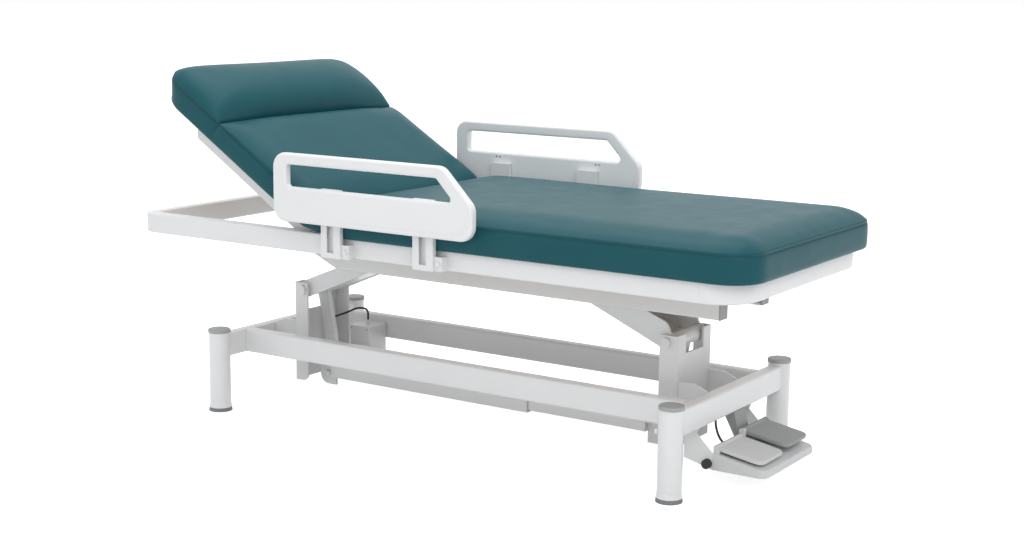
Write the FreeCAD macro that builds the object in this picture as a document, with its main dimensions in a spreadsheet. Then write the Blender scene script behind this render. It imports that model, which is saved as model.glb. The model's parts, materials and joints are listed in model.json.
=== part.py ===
import FreeCAD, Part
import math
import os
import re

import Sketcher
from FreeCAD import Placement, Rotation, Vector

# Height-adjustable examination table with a raised backrest and two drop-down side guards.
# Millimetres, +Z up. The head end is at -X, the foot end at +X, the near long side at -Y.
# The origin lies on the floor under the middle of the whole outline.

doc = FreeCAD.newDocument("examination_table")
sheet = doc.addObject("Spreadsheet::Sheet", "Size")

DIMENSIONS = (
    # Lying surface and the tube frame under it
    ("table_length", 1885, "head end of the frame to foot end of the cushion"),
    ("frame_width", 740, "over the side rails"),
    ("frame_bottom", 500, "floor to the underside of the side rails"),
    ("frame_height", 56, "height of the frame tube"),
    ("frame_tube", 35, "width of the frame tube"),
    ("frame_wall", 3, "wall of the frame tube"),
    ("frame_edge", 6, "outer edge radius of the frame tube"),
    ("frame_inset", 18, "cushion overhang past the foot tube"),
    ("foot_corner", 100, "outer bend radius at the foot end"),
    ("head_corner", 44, "outer bend radius at the head end"),
    ("cross_height", 30, "height and width of the upper cross tubes"),
    ("cross_seat_head", -255, "cross tube under the head end of the seat"),
    ("cross_seat_middle", 240, "cross tube under the middle of the seat"),
    ("cross_seat_foot", 690, "cross tube under the foot end of the seat"),
    ("rest_plate_place", -560, "flat strip that the lowered backrest lies on"),
    ("rest_plate_width", 80, "width of that strip"),
    ("rest_plate_thick", 4, "thickness of that strip"),
    # Two channels under the frame that the lifting arms carry
    ("beam_outer", 138, "centre plane to the outer face of a channel"),
    ("beam_depth", 40, "depth of the channel section"),
    ("beam_height", 86, "height of the channel section"),
    ("beam_wall", 5, "wall of the channel section"),
    ("beam_head", -420, "head end of the lower flange"),
    ("beam_nose", 190, "length of the sloped nose"),
    ("beam_foot", 761, "foot end of the channel"),
    ("beam_cap_thick", 4, "plate of the plastic end cap"),
    ("beam_cap_plug", 20, "plug of the plastic end cap"),
    # Seat upholstery
    ("cushion_width", 768, "over the upholstery"),
    ("seat_head", -267, "head end of the seat cushion at its base"),
    ("seat_lean", 48, "lean of the seat's head face towards the foot"),
    ("seat_top", 654, "floor to the top of the seat cushion"),
    ("cushion_lip", 6.5, "cushion hanging below the frame's top edge"),
    ("cushion_round", 20, "rounding of the upholstery's top edge"),
    ("seat_corner", 78, "plan radius at the foot corners"),
    ("board_thick", 12, "plywood boards"),
    ("board_inset", 26, "cushion edge to board edge"),
    ("soft_gap", 0.4, "clearance round the soft solids"),
    # Backrest, drawn flat about its hinge and turned up
    ("back_angle", 32.4, "backrest angle in the stored pose"),
    ("hinge_place", -323, "hinge axis along the table"),
    ("hinge_height", 530, "floor to the hinge axis"),
    ("back_reach", 634, "hinge axis to the head end of the cushion"),
    ("back_lower_end", 20, "hinge axis to the lower end of the cushion, at its base"),
    ("back_bevel", 38, "bevel of the lower end, so that it clears the seat"),
    ("back_thick", 92, "thickness of the backrest cushion"),
    ("back_crease", 415, "hinge axis to the sewn crease under the headrest"),
    ("crease_depth", 12, "depth of that crease"),
    ("crease_width", 34, "width of that crease"),
    ("back_corner", 82, "plan radius at the head corners"),
    ("bar_width", 20, "width of the side bars"),
    ("bar_gap", 5, "side bar to side rail"),
    ("bar_reach", 517, "hinge axis to the head end of the side bars"),
    ("bar_taper", 24, "taper of the side bars' head end"),
    ("bar_past", 20, "hinge axis to the lower end of the side bars"),
    ("bar_cross_upper", 490, "hinge axis to the upper cross bar"),
    ("bar_cross_lower", 110, "hinge axis to the lower cross bar"),
    ("bar_cross_width", 30, "width of the backrest's cross bars"),
    ("hinge_pin", 14, "diameter of the hinge pins"),
    ("pin_past", 3, "pins past what they carry"),
    ("side_gap", 0.5, "side clearance of turning pieces"),
    ("running_gap", 0.05, "radial clearance of pins in their holes"),
    # Base frame
    ("base_shift", 7.5, "base centre towards the foot end"),
    ("leg_pitch_long", 1440, "leg to leg along the table"),
    ("leg_pitch_wide", 606, "leg to leg across the table"),
    ("leg_diameter", 60, "round legs"),
    ("leg_wall", 3, "wall of the legs"),
    ("leg_top", 226, "floor to the top of the leg tube"),
    ("leg_cap_thick", 10, "plastic cap on a leg"),
    ("leg_cap_round", 3, "edge radius of that cap"),
    ("leg_cap_over", 1.5, "cap edge past the leg"),
    ("foot_height", 26, "rubber foot below the tube"),
    ("foot_flare", 3, "foot radius past the leg"),
    ("base_height", 66, "height of the base tubes"),
    ("base_tube", 36, "width of the base tubes"),
    ("base_wall", 3, "wall of the base tubes"),
    ("base_edge", 6, "outer edge radius of the base tubes"),
    ("base_bottom", 154, "floor to the underside of the base tubes"),
    ("rail_outer", 210.5, "centre plane to the outer face of a long rail"),
    # Columns that carry the arms
    ("pivot_offset", 590, "base centre to an arm pivot"),
    ("pivot_height", 330, "floor to the arm pivots"),
    ("column_width", 190, "over the column's cheeks"),
    ("column_depth", 50, "depth of the column's cheeks"),
    ("column_back", 32, "arm pivot to the outer face of the back wall"),
    ("column_wall", 6, "wall of the column"),
    ("column_bend", 9, "outer bend radius of the column"),
    ("column_top", 350, "floor to the top of the column"),
    ("column_foot", 63, "floor to the bottom of the cheeks"),
    ("cheek_round", 20, "rounding of the cheeks' lower ends"),
    ("notch_half", 48, "half width of the notch in the back wall"),
    ("notch_bottom_head", 262, "floor to the bottom of the head column's notch"),
    ("notch_bottom_foot", 300, "floor to the bottom of the foot column's notch"),
    ("gusset_run", 34, "slope of the gussets, along"),
    ("gusset_rise", 15, "gussets above the base tubes"),
    ("nut_diameter", 28, "nuts on the pivot shafts"),
    ("nut_width", 8, "width of those nuts"),
    ("bush_diameter", 34, "bushes beside the arms"),
    # Lifting arms: one angled lever at each column
    ("arm_angle", 22.5, "angle of the arms in the stored pose"),
    ("arm_depth", 48, "depth of the arm's cheeks"),
    ("arm_width", 160, "over the arm's cheeks"),
    ("arm_wall", 6, "thickness of the arm's cheeks"),
    ("arm_tip", 24, "upper pin to the tip of the arm"),
    ("arm_taper", 4, "taper of each edge towards the tip"),
    ("arm_hump_head", 1, "raised back of the head arm"),
    ("arm_hump_foot", 18, "raised back of the foot arm"),
    ("arm_hump_start", 6, "pivot to the start of that raised back"),
    ("arm_hump_end", 80, "pivot to the end of that raised back"),
    ("arm_floor_start", 40, "arm pivot to the start of the floor plate"),
    ("arm_floor_end", 236, "arm pivot to the end of the floor plate"),
    ("arm_floor_thick", 5, "floor plate between the cheeks"),
    ("hub_diameter", 42, "tube on the arm pivot"),
    ("shaft_diameter", 20, "pivot shafts and upper pins"),
    ("spacer_diameter", 32, "tube between the cheeks at the upper pin"),
    ("lever_drop", 247, "arm pivot down to the drive pin"),
    ("lever_lean", 47, "arm pivot in to the drive pin"),
    ("lever_boss", 34, "diameter of the lever's lower boss"),
    ("lever_width", 36, "width of the lever bar"),
    ("lever_thick", 16, "thickness of the lever bar"),
    ("drive_pin", 16, "diameter of the drive pins"),
    ("boss_length", 60, "length of the lever's lower boss"),
    ("roller_width", 22, "rollers in the channels"),
    ("roller_gap", 0.6, "roller clear of the channel's flange"),
    ("block_width", 44, "bearing blocks of the head arm"),
    ("block_inset", 2, "bearing block behind the channel's mouth"),
    # Telescopic drive between the two levers
    ("drive_width", 120, "outer drive tube, across"),
    ("drive_bottom", 75, "floor to the underside of the outer drive tube"),
    ("drive_height", 55, "height of the outer drive tube"),
    ("drive_wall", 4, "wall of both drive tubes"),
    ("drive_gap", 1.5, "clearance between the drive tubes"),
    ("drive_mouth", 158, "base centre to the mouth of the outer drive tube"),
    ("drive_inner_end", -50, "base centre to the head end of the inner drive tube"),
    ("drive_setback", 36, "drive pin to the end of each drive tube"),
    ("clevis_half", 34, "half height of the clevis plates"),
    ("clevis_thick", 8, "thickness of the clevis plates"),
    ("clevis_past", 29, "clevis plates past the drive pin"),
    ("window_start", 46, "housing's end to the window in its side"),
    ("window_long", 46, "length of that window"),
    ("window_high", 14, "height of that window"),
    ("window_drop", 9, "window below the housing's middle"),
    # Control box and its cable in the head column
    ("box_long", 74, "control box along the table"),
    ("box_wide", 84, "control box across the table"),
    ("box_high", 92, "height of the control box"),
    ("box_place", -494, "foot face of the control box from the base centre"),
    ("box_bottom", 108, "floor to the underside of the control box"),
    ("box_round", 6, "edge radius of the control box"),
    ("gland_long", 12, "cable gland on the box"),
    ("cable_diameter", 6, "black cables"),
    # Side guards
    ("guard_inner", 401, "centre plane to the inner face of a guard"),
    ("guard_thick", 24, "thickness of a guard"),
    ("guard_head", -397.5, "head end of the guards"),
    ("guard_foot", 235.5, "foot end of the guards"),
    ("guard_bottom_near", 587, "floor to the underside of the near guard"),
    ("guard_raise_far", 29, "the far guard stands this much higher"),
    ("guard_height", 180, "height of a guard"),
    ("guard_slope_top", 92, "the sloped end starts this far from the foot end"),
    ("guard_slope_side", 87, "the sloped end ends this far above the underside"),
    ("guard_corner", 38, "corner radii of the guard"),
    ("guard_edge", 7, "edge radius of the guard"),
    ("grip_left", 45, "guard's head end to the hand opening"),
    ("grip_bar", 30, "depth of the top bar over the hand opening"),
    ("grip_height", 58, "height of the hand opening"),
    ("grip_top_right", 110, "hand opening's upper corner from the foot end"),
    ("grip_low_right", 54, "hand opening's lower corner from the foot end"),
    ("grip_corner", 9, "corner radii of the hand opening"),
    ("post_head", -226, "head-side guard post along the table"),
    ("post_foot", 69.5, "foot-side guard post along the table"),
    ("post_width", 64, "width of a post"),
    ("post_outer", 400, "centre plane to the posts' outer face"),
    ("post_thick", 14, "thickness of a post"),
    ("post_lip", 3, "lips beside the slot"),
    ("post_back", 3, "back wall of a post"),
    ("slot_inside", 46, "room behind the lips"),
    ("post_height", 178, "height of a post"),
    ("post_edge", 3, "edge radius of a post"),
    ("slot_width", 22, "slot in a post"),
    ("slot_start", 14, "slot above the post's foot"),
    ("slot_end", 7, "slot below the post's top"),
    ("slider_above", 47, "guard's underside up to its slides"),
    ("slider_height", 16, "height of a slide"),
    ("slider_clear", 0.5, "slider clearance in the slot"),
    ("spacer_height", 46, "spacer blocks between rail and post"),
    ("bolt_head", 13, "diameter of the bolt heads"),
    ("bolt_rise", 5, "height of the bolt heads"),
    ("clip_width", 24, "clip beside a post"),
    ("clip_height", 36, "height of the clip"),
    # Foot control
    ("tray_back", 762, "back face of the pedal housing"),
    ("tray_long", 141, "pedal housing along the table"),
    ("tray_wide", 298, "pedal housing across the table"),
    ("tray_bottom", 45, "floor to the underside of the housing"),
    ("tray_back_high", 42, "height of the housing's back"),
    ("tray_front_high", 18, "height of the housing's front"),
    ("tray_corner", 22, "plan radii of the housing"),
    ("tray_round", 5, "edge radius of the housing's top"),
    ("ear_thick", 5, "ears that hold the pedal pins"),
    ("ear_long", 16, "length of those ears"),
    ("pedal_long", 122, "pedal along the table"),
    ("pedal_wide", 132, "pedal across the table"),
    ("pedal_thick", 9, "thickness of a pedal"),
    ("pedal_corner", 20, "corner radii of a pedal"),
    ("pedal_edge", 2.5, "edge radius of a pedal"),
    ("pedal_gap", 12, "gap between the two pedals"),
    ("pedal_setback", 6, "housing's back to the pedals' hinge"),
    ("pedal_slope", 9.6, "slope of the pedals"),
    ("pedal_low", 11, "hinge of the light pedal above the housing"),
    ("pedal_high", 22, "hinge of the dark pedal above the housing"),
    ("pedal_pin", 8, "diameter of the pedal hinges"),
    ("gusset_thick", 4, "side plate beside the pedal housing"),
    ("bumper_diameter", 24, "black knob on that plate"),
    ("bumper_thick", 12, "thickness of the knob"),
    ("bracket_reach", 78, "housing's back to the plate's back edge"),
    ("strut_wide", 60, "width of the sloped bar"),
    ("strut_depth", 26, "depth of the sloped bar where it meets the housing"),
    ("strut_place", 34, "middle of the sloped bar, across"),
)


def fill_sheet():
    for row, (alias, value, meaning) in enumerate(DIMENSIONS, start=1):
        sheet.set("A%d" % row, meaning)
        sheet.set("B%d" % row, str(value))
        sheet.setAlias("B%d" % row, alias)
    doc.recompute()


fill_sheet()
ALIASES = {alias for alias, value, meaning in DIMENSIONS}


def formula(text):
    """Write the sheet's name before each size that an expression uses."""
    return re.sub(r"[a-z_]+", lambda word: "Size." + word.group() if word.group() in ALIASES
                  else word.group(), str(text))


def value(text):
    """The number that an expression gives now."""
    result = sheet.evalExpression(formula(text))
    return float(getattr(result, "Value", result))


def bind(item, **expressions):
    """Bind properties, such as Length or place_x, to expressions of the sheet."""
    for name, text in expressions.items():
        path = {"x": "Placement.Base.x", "y": "Placement.Base.y", "z": "Placement.Base.z"}.get(name, name)
        item.setExpression(path, formula(text))


SUBPARTS = []


def subpart(item, label):
    item.Label = label
    SUBPARTS.append(item)
    return item


# Primitives and booleans

TURN_TO = {"x": Rotation(Vector(0, 1, 0), 90), "y": Rotation(Vector(1, 0, 0), -90), "z": Rotation()}


def box(name, length, width, height, x=0, y=0, z=0):
    """A block whose x, y and z name its middle in plan and its underside."""
    item = doc.addObject("Part::Box", name)
    bind(item, Length=length, Width=width, Height=height,
         x="%s - (%s) / 2" % (x, length), y="%s - (%s) / 2" % (y, width), z=z)
    return item


def rod(name, diameter, length, along, x=0, y=0, z=0):
    """A round bar along an axis, with its middle at x, y, z."""
    item = doc.addObject("Part::Cylinder", name)
    item.Placement = Placement(Vector(), TURN_TO[along])
    centre = {"x": x, "y": y, "z": z}
    centre[along] = "%s - (%s) / 2" % (centre[along], length)
    bind(item, Radius="(%s) / 2" % diameter, Height=length, **centre)
    return item


def fuse(name, items):
    item = doc.addObject("Part::MultiFuse", name)
    item.Shapes = items
    item.Refine = True
    return item


def cut(name, base, tools):
    tool = tools[0] if len(tools) == 1 else fuse(name + "_tools", tools)
    item = doc.addObject("Part::Cut", name)
    item.Base = base
    item.Tool = tool
    item.Refine = True
    return item


def group(name, items):
    item = doc.addObject("Part::Compound", name)
    item.Links = items
    return item


# Bodies with sketches

def new_body(name):
    return doc.addObject("PartDesign::Body", name)


def plane(body, role):
    return [item for item in body.Origin.OriginFeatures if item.Role == role][0]


def sketch_on(body, name, role, offset=None):
    sketch = body.newObject("Sketcher::SketchObject", name)
    sketch.AttachmentSupport = (plane(body, role), [""])
    sketch.MapMode = "FlatFace"
    if offset is not None:
        sketch.setExpression("AttachmentOffset.Base.z", formula(offset))
    return sketch


def add_loop(sketch, corners):
    """Draw a closed outline and tie each of its corners to the sheet."""
    points = [Vector(value(across), value(up), 0) for across, up in corners]
    first = sketch.GeometryCount
    count = len(points)
    for index in range(count):
        sketch.addGeometry(Part.LineSegment(points[index], points[(index + 1) % count]), False)
    for index in range(count):
        follower = first + (index + 1) % count
        sketch.addConstraint(Sketcher.Constraint("Coincident", first + index, 2, follower, 1))
    for index, (across, up) in enumerate(corners):
        for kind, text in (("DistanceX", across), ("DistanceY", up)):
            place = sketch.addConstraint(Sketcher.Constraint(kind, first + index, 1, value(text)))
            sketch.setExpression("Constraints[%d]" % place, formula(text))


def add_circle(sketch, across, up, diameter):
    centre = Vector(value(across), value(up), 0)
    index = sketch.addGeometry(Part.Circle(centre, Vector(0, 0, 1), value(diameter) / 2), False)
    for kind, text in (("DistanceX", across), ("DistanceY", up)):
        place = sketch.addConstraint(Sketcher.Constraint(kind, index, 3, value(text)))
        sketch.setExpression("Constraints[%d]" % place, formula(text))
    place = sketch.addConstraint(Sketcher.Constraint("Diameter", index, value(diameter)))
    sketch.setExpression("Constraints[%d]" % place, formula(diameter))


def rectangle(left, right, low, high):
    return [(left, low), (right, low), (right, high), (left, high)]


def pad(body, sketch, length, both_ways=False, backwards=False):
    feature = body.newObject("PartDesign::Pad", sketch.Name + "_pad")
    feature.Profile = sketch
    feature.setExpression("Length", formula(length))
    feature.Midplane = both_ways
    feature.Reversed = backwards
    doc.recompute()
    return feature


def pocket(body, sketch, length=None, both_ways=True, backwards=False):
    """Cut a sketch into the body, right through where no length is given."""
    before = body.Shape.Volume
    feature = body.newObject("PartDesign::Pocket", sketch.Name + "_pocket")
    feature.Profile = sketch
    if length is None:
        feature.Type = "ThroughAll"
    else:
        feature.setExpression("Length", formula(length))
    feature.Midplane = both_ways
    feature.Reversed = backwards
    doc.recompute()
    if not body.Shape.Volume < before:
        raise RuntimeError("%s removes nothing" % feature.Name)
    return feature


def fillet(body, name, radius, chosen):
    """Round the edges of the body's tip for which chosen(edge) is true."""
    tip = body.Tip
    names = ["Edge%d" % number for number, edge in enumerate(tip.Shape.Edges, start=1) if chosen(edge)]
    feature = body.newObject("PartDesign::Fillet", name)
    feature.Base = (tip, names)
    feature.setExpression("Radius", formula(radius))
    doc.recompute()
    return feature


def runs_along(edge, axis):
    """Whether a straight edge lies along the axis x, y or z."""
    if not isinstance(edge.Curve, (Part.Line, Part.LineSegment)):
        return False
    direction = edge.Vertexes[-1].Point - edge.Vertexes[0].Point
    return abs(getattr(direction.normalize(), axis)) > 0.9999


def near(number, text, reach=0.01):
    return abs(number - value(text)) < reach


def middle(edge):
    return edge.CenterOfMass


def tube_body(name, length, width, height, wall, edge, along):
    """A rectangular tube along x or y, centred in plan, standing on z = 0."""
    body = new_body(name)
    sketch = sketch_on(body, name + "_section", "YZ_Plane" if along == "x" else "XZ_Plane")
    half = "(%s) / 2" % width
    inner = "(%s) / 2 - %s" % (width, wall)
    add_loop(sketch, rectangle("-" + half, half, "0", height))
    add_loop(sketch, rectangle("-(%s)" % inner, inner, wall, "%s - %s" % (height, wall)))
    pad(body, sketch, length, both_ways=True)
    across = "y" if along == "x" else "x"

    def outer_corner(item):
        place = middle(item)
        return (runs_along(item, along) and near(abs(getattr(place, across)), half)
                and (near(place.z, "0") or near(place.z, height)))

    fillet(body, name + "_edges", edge, outer_corner)
    return body


# Frame of the lying surface

HEAD_END = "-table_length / 2"
FRAME_FOOT = "table_length / 2 - frame_inset"
SIDE = {"right": -1, "left": 1}


def frame_rails():
    for hand, sign in SIDE.items():
        rail = tube_body("top_rail_" + hand, "table_length - frame_inset - head_corner - foot_corner",
                         "frame_tube", "frame_height", "frame_wall", "frame_edge", "x")
        bind(rail, x="(%s + head_corner + %s - foot_corner) / 2" % (HEAD_END, FRAME_FOOT),
             y="%d * (frame_width - frame_tube) / 2" % sign, z="frame_bottom")
        subpart(rail, "top_rail_" + hand)


FRAME_TURN = {("foot", 1): 0, ("head", 1): 90, ("head", -1): 180, ("foot", -1): 270}


def frame_corner(name, end, sign):
    """A quarter bend of the frame tube, turned about the middle of its bend."""
    radius = end + "_corner"
    body = new_body(name)
    sketch = sketch_on(body, name + "_section", "XZ_Plane")
    near_side = "%s - frame_tube" % radius
    add_loop(sketch, rectangle(near_side, radius, "0", "frame_height"))
    add_loop(sketch, rectangle("%s + frame_wall" % near_side, "%s - frame_wall" % radius,
                               "frame_wall", "frame_height - frame_wall"))
    bend = body.newObject("PartDesign::Revolution", name + "_bend")
    bend.Profile = sketch
    bend.ReferenceAxis = (sketch, ["V_Axis"])
    bend.Angle = 90
    doc.recompute()

    def outer_corner(item):
        if not isinstance(item.Curve, Part.Circle):
            return False
        sizes = (value(radius), value(near_side))
        level = near(middle(item).z, "0") or near(middle(item).z, "frame_height")
        return level and min(abs(item.Curve.Radius - size) for size in sizes) < 0.01

    fillet(body, name + "_edges", "frame_edge", outer_corner)
    middle_x = "%s + head_corner" % HEAD_END if end == "head" else "%s - foot_corner" % FRAME_FOOT
    turned_back = body.Shape.BoundBox.YMax <= 0.01
    quarter = FRAME_TURN[(end, sign)] + (90 if turned_back else 0)
    body.Placement = Placement(Vector(), Rotation(Vector(0, 0, 1), quarter))
    bind(body, x=middle_x, y="%d * (frame_width / 2 - %s)" % (sign, radius), z="frame_bottom")
    return body


def frame_ends():
    """Each end of the frame: a cross tube that bends round into the side rails."""
    ends = (("head", "%s + frame_tube / 2" % HEAD_END), ("foot", "%s - frame_tube / 2" % FRAME_FOOT))
    for end, place in ends:
        tube = tube_body("end_bar_" + end, "frame_width - 2 * %s_corner" % end,
                         "frame_tube", "frame_height", "frame_wall", "frame_edge", "y")
        bind(tube, x=place, z="frame_bottom")
        bends = [frame_corner("bend_%s_%s" % (end, hand), end, sign) for hand, sign in SIDE.items()]
        subpart(fuse("top_bend_" + end, [tube] + bends), "top_bend_" + end)


def frame_cross_tubes():
    inside = "frame_width - 2 * frame_tube"
    tubes = []
    for place in ("seat_head", "seat_middle", "seat_foot"):
        tube = tube_body("cross_tube_" + place, inside, "cross_height", "cross_height",
                         "frame_wall", "frame_wall", "y")
        bind(tube, x="cross_" + place, z="frame_bottom")
        tubes.append(tube)
    subpart(group("seat_cross_tubes", tubes), "seat_cross_tubes")
    strip = box("rest_strip", "rest_plate_width", inside, "rest_plate_thick",
                "rest_plate_place", "0", "frame_bottom")
    subpart(strip, "rest_strip")


# Two channels under the frame that the lifting arms carry

def under_beams():
    """Two channels, open towards each other, with a sloped nose."""
    bottom, top = "(frame_bottom - beam_height)", "frame_bottom"
    nose_wall = "beam_wall / sin(atan(beam_height / beam_nose))"

    def nose(rise):
        return "beam_head - (%s) * beam_nose / beam_height + %s" % (rise, nose_wall)

    for hand, sign in SIDE.items():
        body = new_body("under_beam_" + hand)
        side = sketch_on(body, "beam_side_" + hand, "XZ_Plane")
        add_loop(side, [("beam_head", bottom), ("beam_foot", bottom), ("beam_foot", top),
                        ("beam_head - beam_nose", top)])
        pad(body, side, "beam_depth", backwards=sign > 0)
        hollow = sketch_on(body, "beam_hollow_" + hand, "XZ_Plane")
        add_loop(hollow, [(nose("beam_wall"), bottom + " + beam_wall"), ("beam_foot + 1", bottom + " + beam_wall"),
                          ("beam_foot + 1", top + " - beam_wall"),
                          (nose("beam_height - beam_wall"), top + " - beam_wall")])
        pocket(body, hollow, "beam_depth - beam_wall", both_ways=False, backwards=sign < 0)

        def outer_long_edge(item):
            return runs_along(item, "x") and near(abs(middle(item).y), "beam_depth")

        fillet(body, "beam_edges_" + hand, "beam_wall", outer_long_edge)
        bind(body, y="%d * (beam_outer - beam_depth)" % sign)
        subpart(body, "under_beam_" + hand)


def beam_caps():
    caps = []
    for hand, sign in SIDE.items():
        face = box("cap_face_" + hand, "beam_cap_thick", "beam_depth", "beam_height",
                   "beam_foot + beam_cap_thick / 2", "%d * (beam_outer - beam_depth / 2)" % sign,
                   "frame_bottom - beam_height")
        plug = box("cap_plug_" + hand, "beam_cap_plug", "beam_depth - beam_wall - soft_gap",
                   "beam_height - 2 * beam_wall - 2 * soft_gap", "beam_foot - beam_cap_plug / 2",
                   "%d * (beam_outer - (beam_depth + beam_wall + soft_gap) / 2)" % sign,
                   "frame_bottom - beam_height + beam_wall + soft_gap")
        caps.append(fuse("beam_cap_" + hand, [face, plug]))
    subpart(group("beam_caps", caps), "beam_caps")


# Seat upholstery

FRAME_TOP = "(frame_bottom + frame_height)"


def frame_room(base):
    """The room that the cushion's lip leaves for the frame's top edge."""
    body = new_body("seat_recess")
    plan = sketch_on(body, "recess_plan", "XY_Plane")
    rail_end = "(%s + soft_gap)" % FRAME_FOOT
    add_loop(plan, rectangle("seat_head - seat_lean", rail_end, "-(frame_width / 2 + soft_gap)",
                             "frame_width / 2 + soft_gap"))
    pad(body, plan, "cushion_lip + soft_gap")
    fillet(body, "recess_corners", "foot_corner + soft_gap",
           lambda edge: runs_along(edge, "z") and near(middle(edge).x, rail_end))
    bind(body, z=base)
    return body


def seat():
    foot = "table_length / 2"
    base = "(%s - cushion_lip)" % FRAME_TOP
    half = "cushion_width / 2"
    body = new_body("seat_foam")
    side = sketch_on(body, "seat_side", "XZ_Plane")
    add_loop(side, [("seat_head", base), (foot, base), (foot, "seat_top"),
                    ("seat_head + seat_lean", "seat_top")])
    pad(body, side, "cushion_width", both_ways=True)
    fillet(body, "seat_plan_corners", "seat_corner",
           lambda edge: runs_along(edge, "z") and near(middle(edge).x, foot))
    fillet(body, "seat_top_edges", "cushion_round",
           lambda edge: near(edge.BoundBox.ZMin, "seat_top") and near(edge.BoundBox.ZMax, "seat_top"))
    left, right = "seat_head + board_inset", "%s - board_inset - frame_inset" % foot
    edge = "(%s - board_inset)" % half
    room = box("seat_board_room", "%s - (%s) + 2 * soft_gap" % (right, left), "2 * %s + 2 * soft_gap" % edge,
               "board_thick + soft_gap", "(%s + %s) / 2" % (left, right), "0", FRAME_TOP)
    subpart(cut("seat_upholstery", body, [frame_room(base), room]), "seat_cushion")
    board = box("seat_board", "%s - (%s)" % (right, left), "2 * " + edge, "board_thick",
                "(%s + %s) / 2" % (left, right), "0", FRAME_TOP)
    subpart(board, "seat_board")


# Backrest, drawn flat with the hinge axis as its origin, and turned up

BACK_BASE = "(%s - hinge_height)" % FRAME_TOP
BAR_BOTTOM = "(frame_bottom + rest_plate_thick + soft_gap - hinge_height)"


def turn_up(item, across="0"):
    item.Placement = Placement(Vector(), Rotation(Vector(0, 1, 0), 10))
    item.setExpression("Placement.Rotation.Angle", formula("back_angle"))
    bind(item, x="hinge_place", y=across, z="hinge_height")


def back_upholstery():
    top = "(%s + back_thick)" % BACK_BASE
    base = "(%s + soft_gap)" % BACK_BASE
    body = new_body("back_cushion")
    side = sketch_on(body, "back_side", "XZ_Plane")
    add_loop(side, [("-back_reach", base), ("-back_lower_end", base), ("-back_lower_end - back_bevel", top),
                    ("-back_crease + crease_width / 2", top), ("-back_crease", top + " - crease_depth"),
                    ("-back_crease - crease_width / 2", top), ("-back_reach", top)])
    pad(body, side, "cushion_width", both_ways=True)
    fillet(body, "back_plan_corners", "back_corner",
           lambda edge: runs_along(edge, "z") and near(middle(edge).x, "-back_reach"))
    fillet(body, "back_head_edge", "cushion_round",
           lambda edge: near(edge.BoundBox.ZMin, top) and near(edge.BoundBox.XMin, "-back_reach", 0.5)
           or (near(edge.BoundBox.ZMin, top) and runs_along(edge, "x")
               and middle(edge).x < value("-back_crease")))
    left, right = "-back_reach + board_inset", "-back_lower_end - board_inset"
    half = "(cushion_width / 2 - board_inset)"
    room = sketch_on(body, "back_board_room", "XY_Plane", base)
    add_loop(room, rectangle("%s - soft_gap" % left, "%s + soft_gap" % right,
                             "-%s - soft_gap" % half, "%s + soft_gap" % half))
    pocket(body, room, "board_thick", both_ways=False, backwards=True)
    turn_up(body)
    subpart(body, "back_cushion")
    board = box("back_panel", "%s - (%s)" % (right, left), "2 * %s" % half, "board_thick",
                "(%s + %s) / 2" % (left, right), "0", BACK_BASE)
    turned = group("back_board", [board])
    turn_up(turned)
    subpart(turned, "back_board")


def back_frame():
    for hand, sign in SIDE.items():
        body = new_body("back_bar_" + hand)
        side = sketch_on(body, "bar_side_" + hand, "XZ_Plane")
        add_loop(side, [("-bar_reach + bar_taper", BAR_BOTTOM), ("bar_past", BAR_BOTTOM),
                        ("bar_past", BACK_BASE), ("-bar_reach", BACK_BASE),
                        ("-bar_reach", BACK_BASE + " - bar_taper / 2")])
        pad(body, side, "bar_width", both_ways=True)
        eye = sketch_on(body, "bar_eye_" + hand, "XZ_Plane")
        add_circle(eye, "0", "0", "hinge_pin + 2 * running_gap")
        pocket(body, eye)
        fillet(body, "bar_ends_" + hand, "bar_past - soft_gap",
               lambda edge: runs_along(edge, "y") and near(middle(edge).x, "bar_past"))
        turn_up(body, "%d * (frame_width / 2 - frame_tube - bar_gap - bar_width / 2)" % sign)
        subpart(body, "back_bar_" + hand)
    tubes = []
    for place in ("upper", "lower"):
        tube = tube_body("back_tube_" + place, "frame_width - 2 * (frame_tube + bar_gap + bar_width)",
                         "bar_cross_width", "bar_cross_width", "frame_wall", "frame_wall", "y")
        bind(tube, x="-bar_cross_" + place, z=BACK_BASE + " - bar_cross_width")
        tubes.append(tube)
    turned = group("back_cross_tubes", tubes)
    turn_up(turned)
    subpart(turned, "back_cross_tubes")


def hinge_pins():
    """Shouldered pins on the side rails, with the shoulder against the rail."""
    pins = []
    for hand, sign in SIDE.items():
        rail_face = "(frame_width / 2 - frame_tube)"
        shoulder = rod("hinge_shoulder_" + hand, "2 * hinge_pin", "bar_gap - side_gap", "y", "hinge_place",
                       "%d * (%s - (bar_gap - side_gap) / 2)" % (sign, rail_face), "hinge_height")
        length = "(bar_gap + bar_width + pin_past)"
        pin = rod("hinge_shank_" + hand, "hinge_pin", length, "y", "hinge_place",
                  "%d * (%s - %s / 2)" % (sign, rail_face, length), "hinge_height")
        pins.append(fuse("hinge_pin_" + hand, [shoulder, pin]))
    subpart(group("backrest_hinge_pins", pins), "backrest_hinge_pins")


# Base frame

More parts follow.
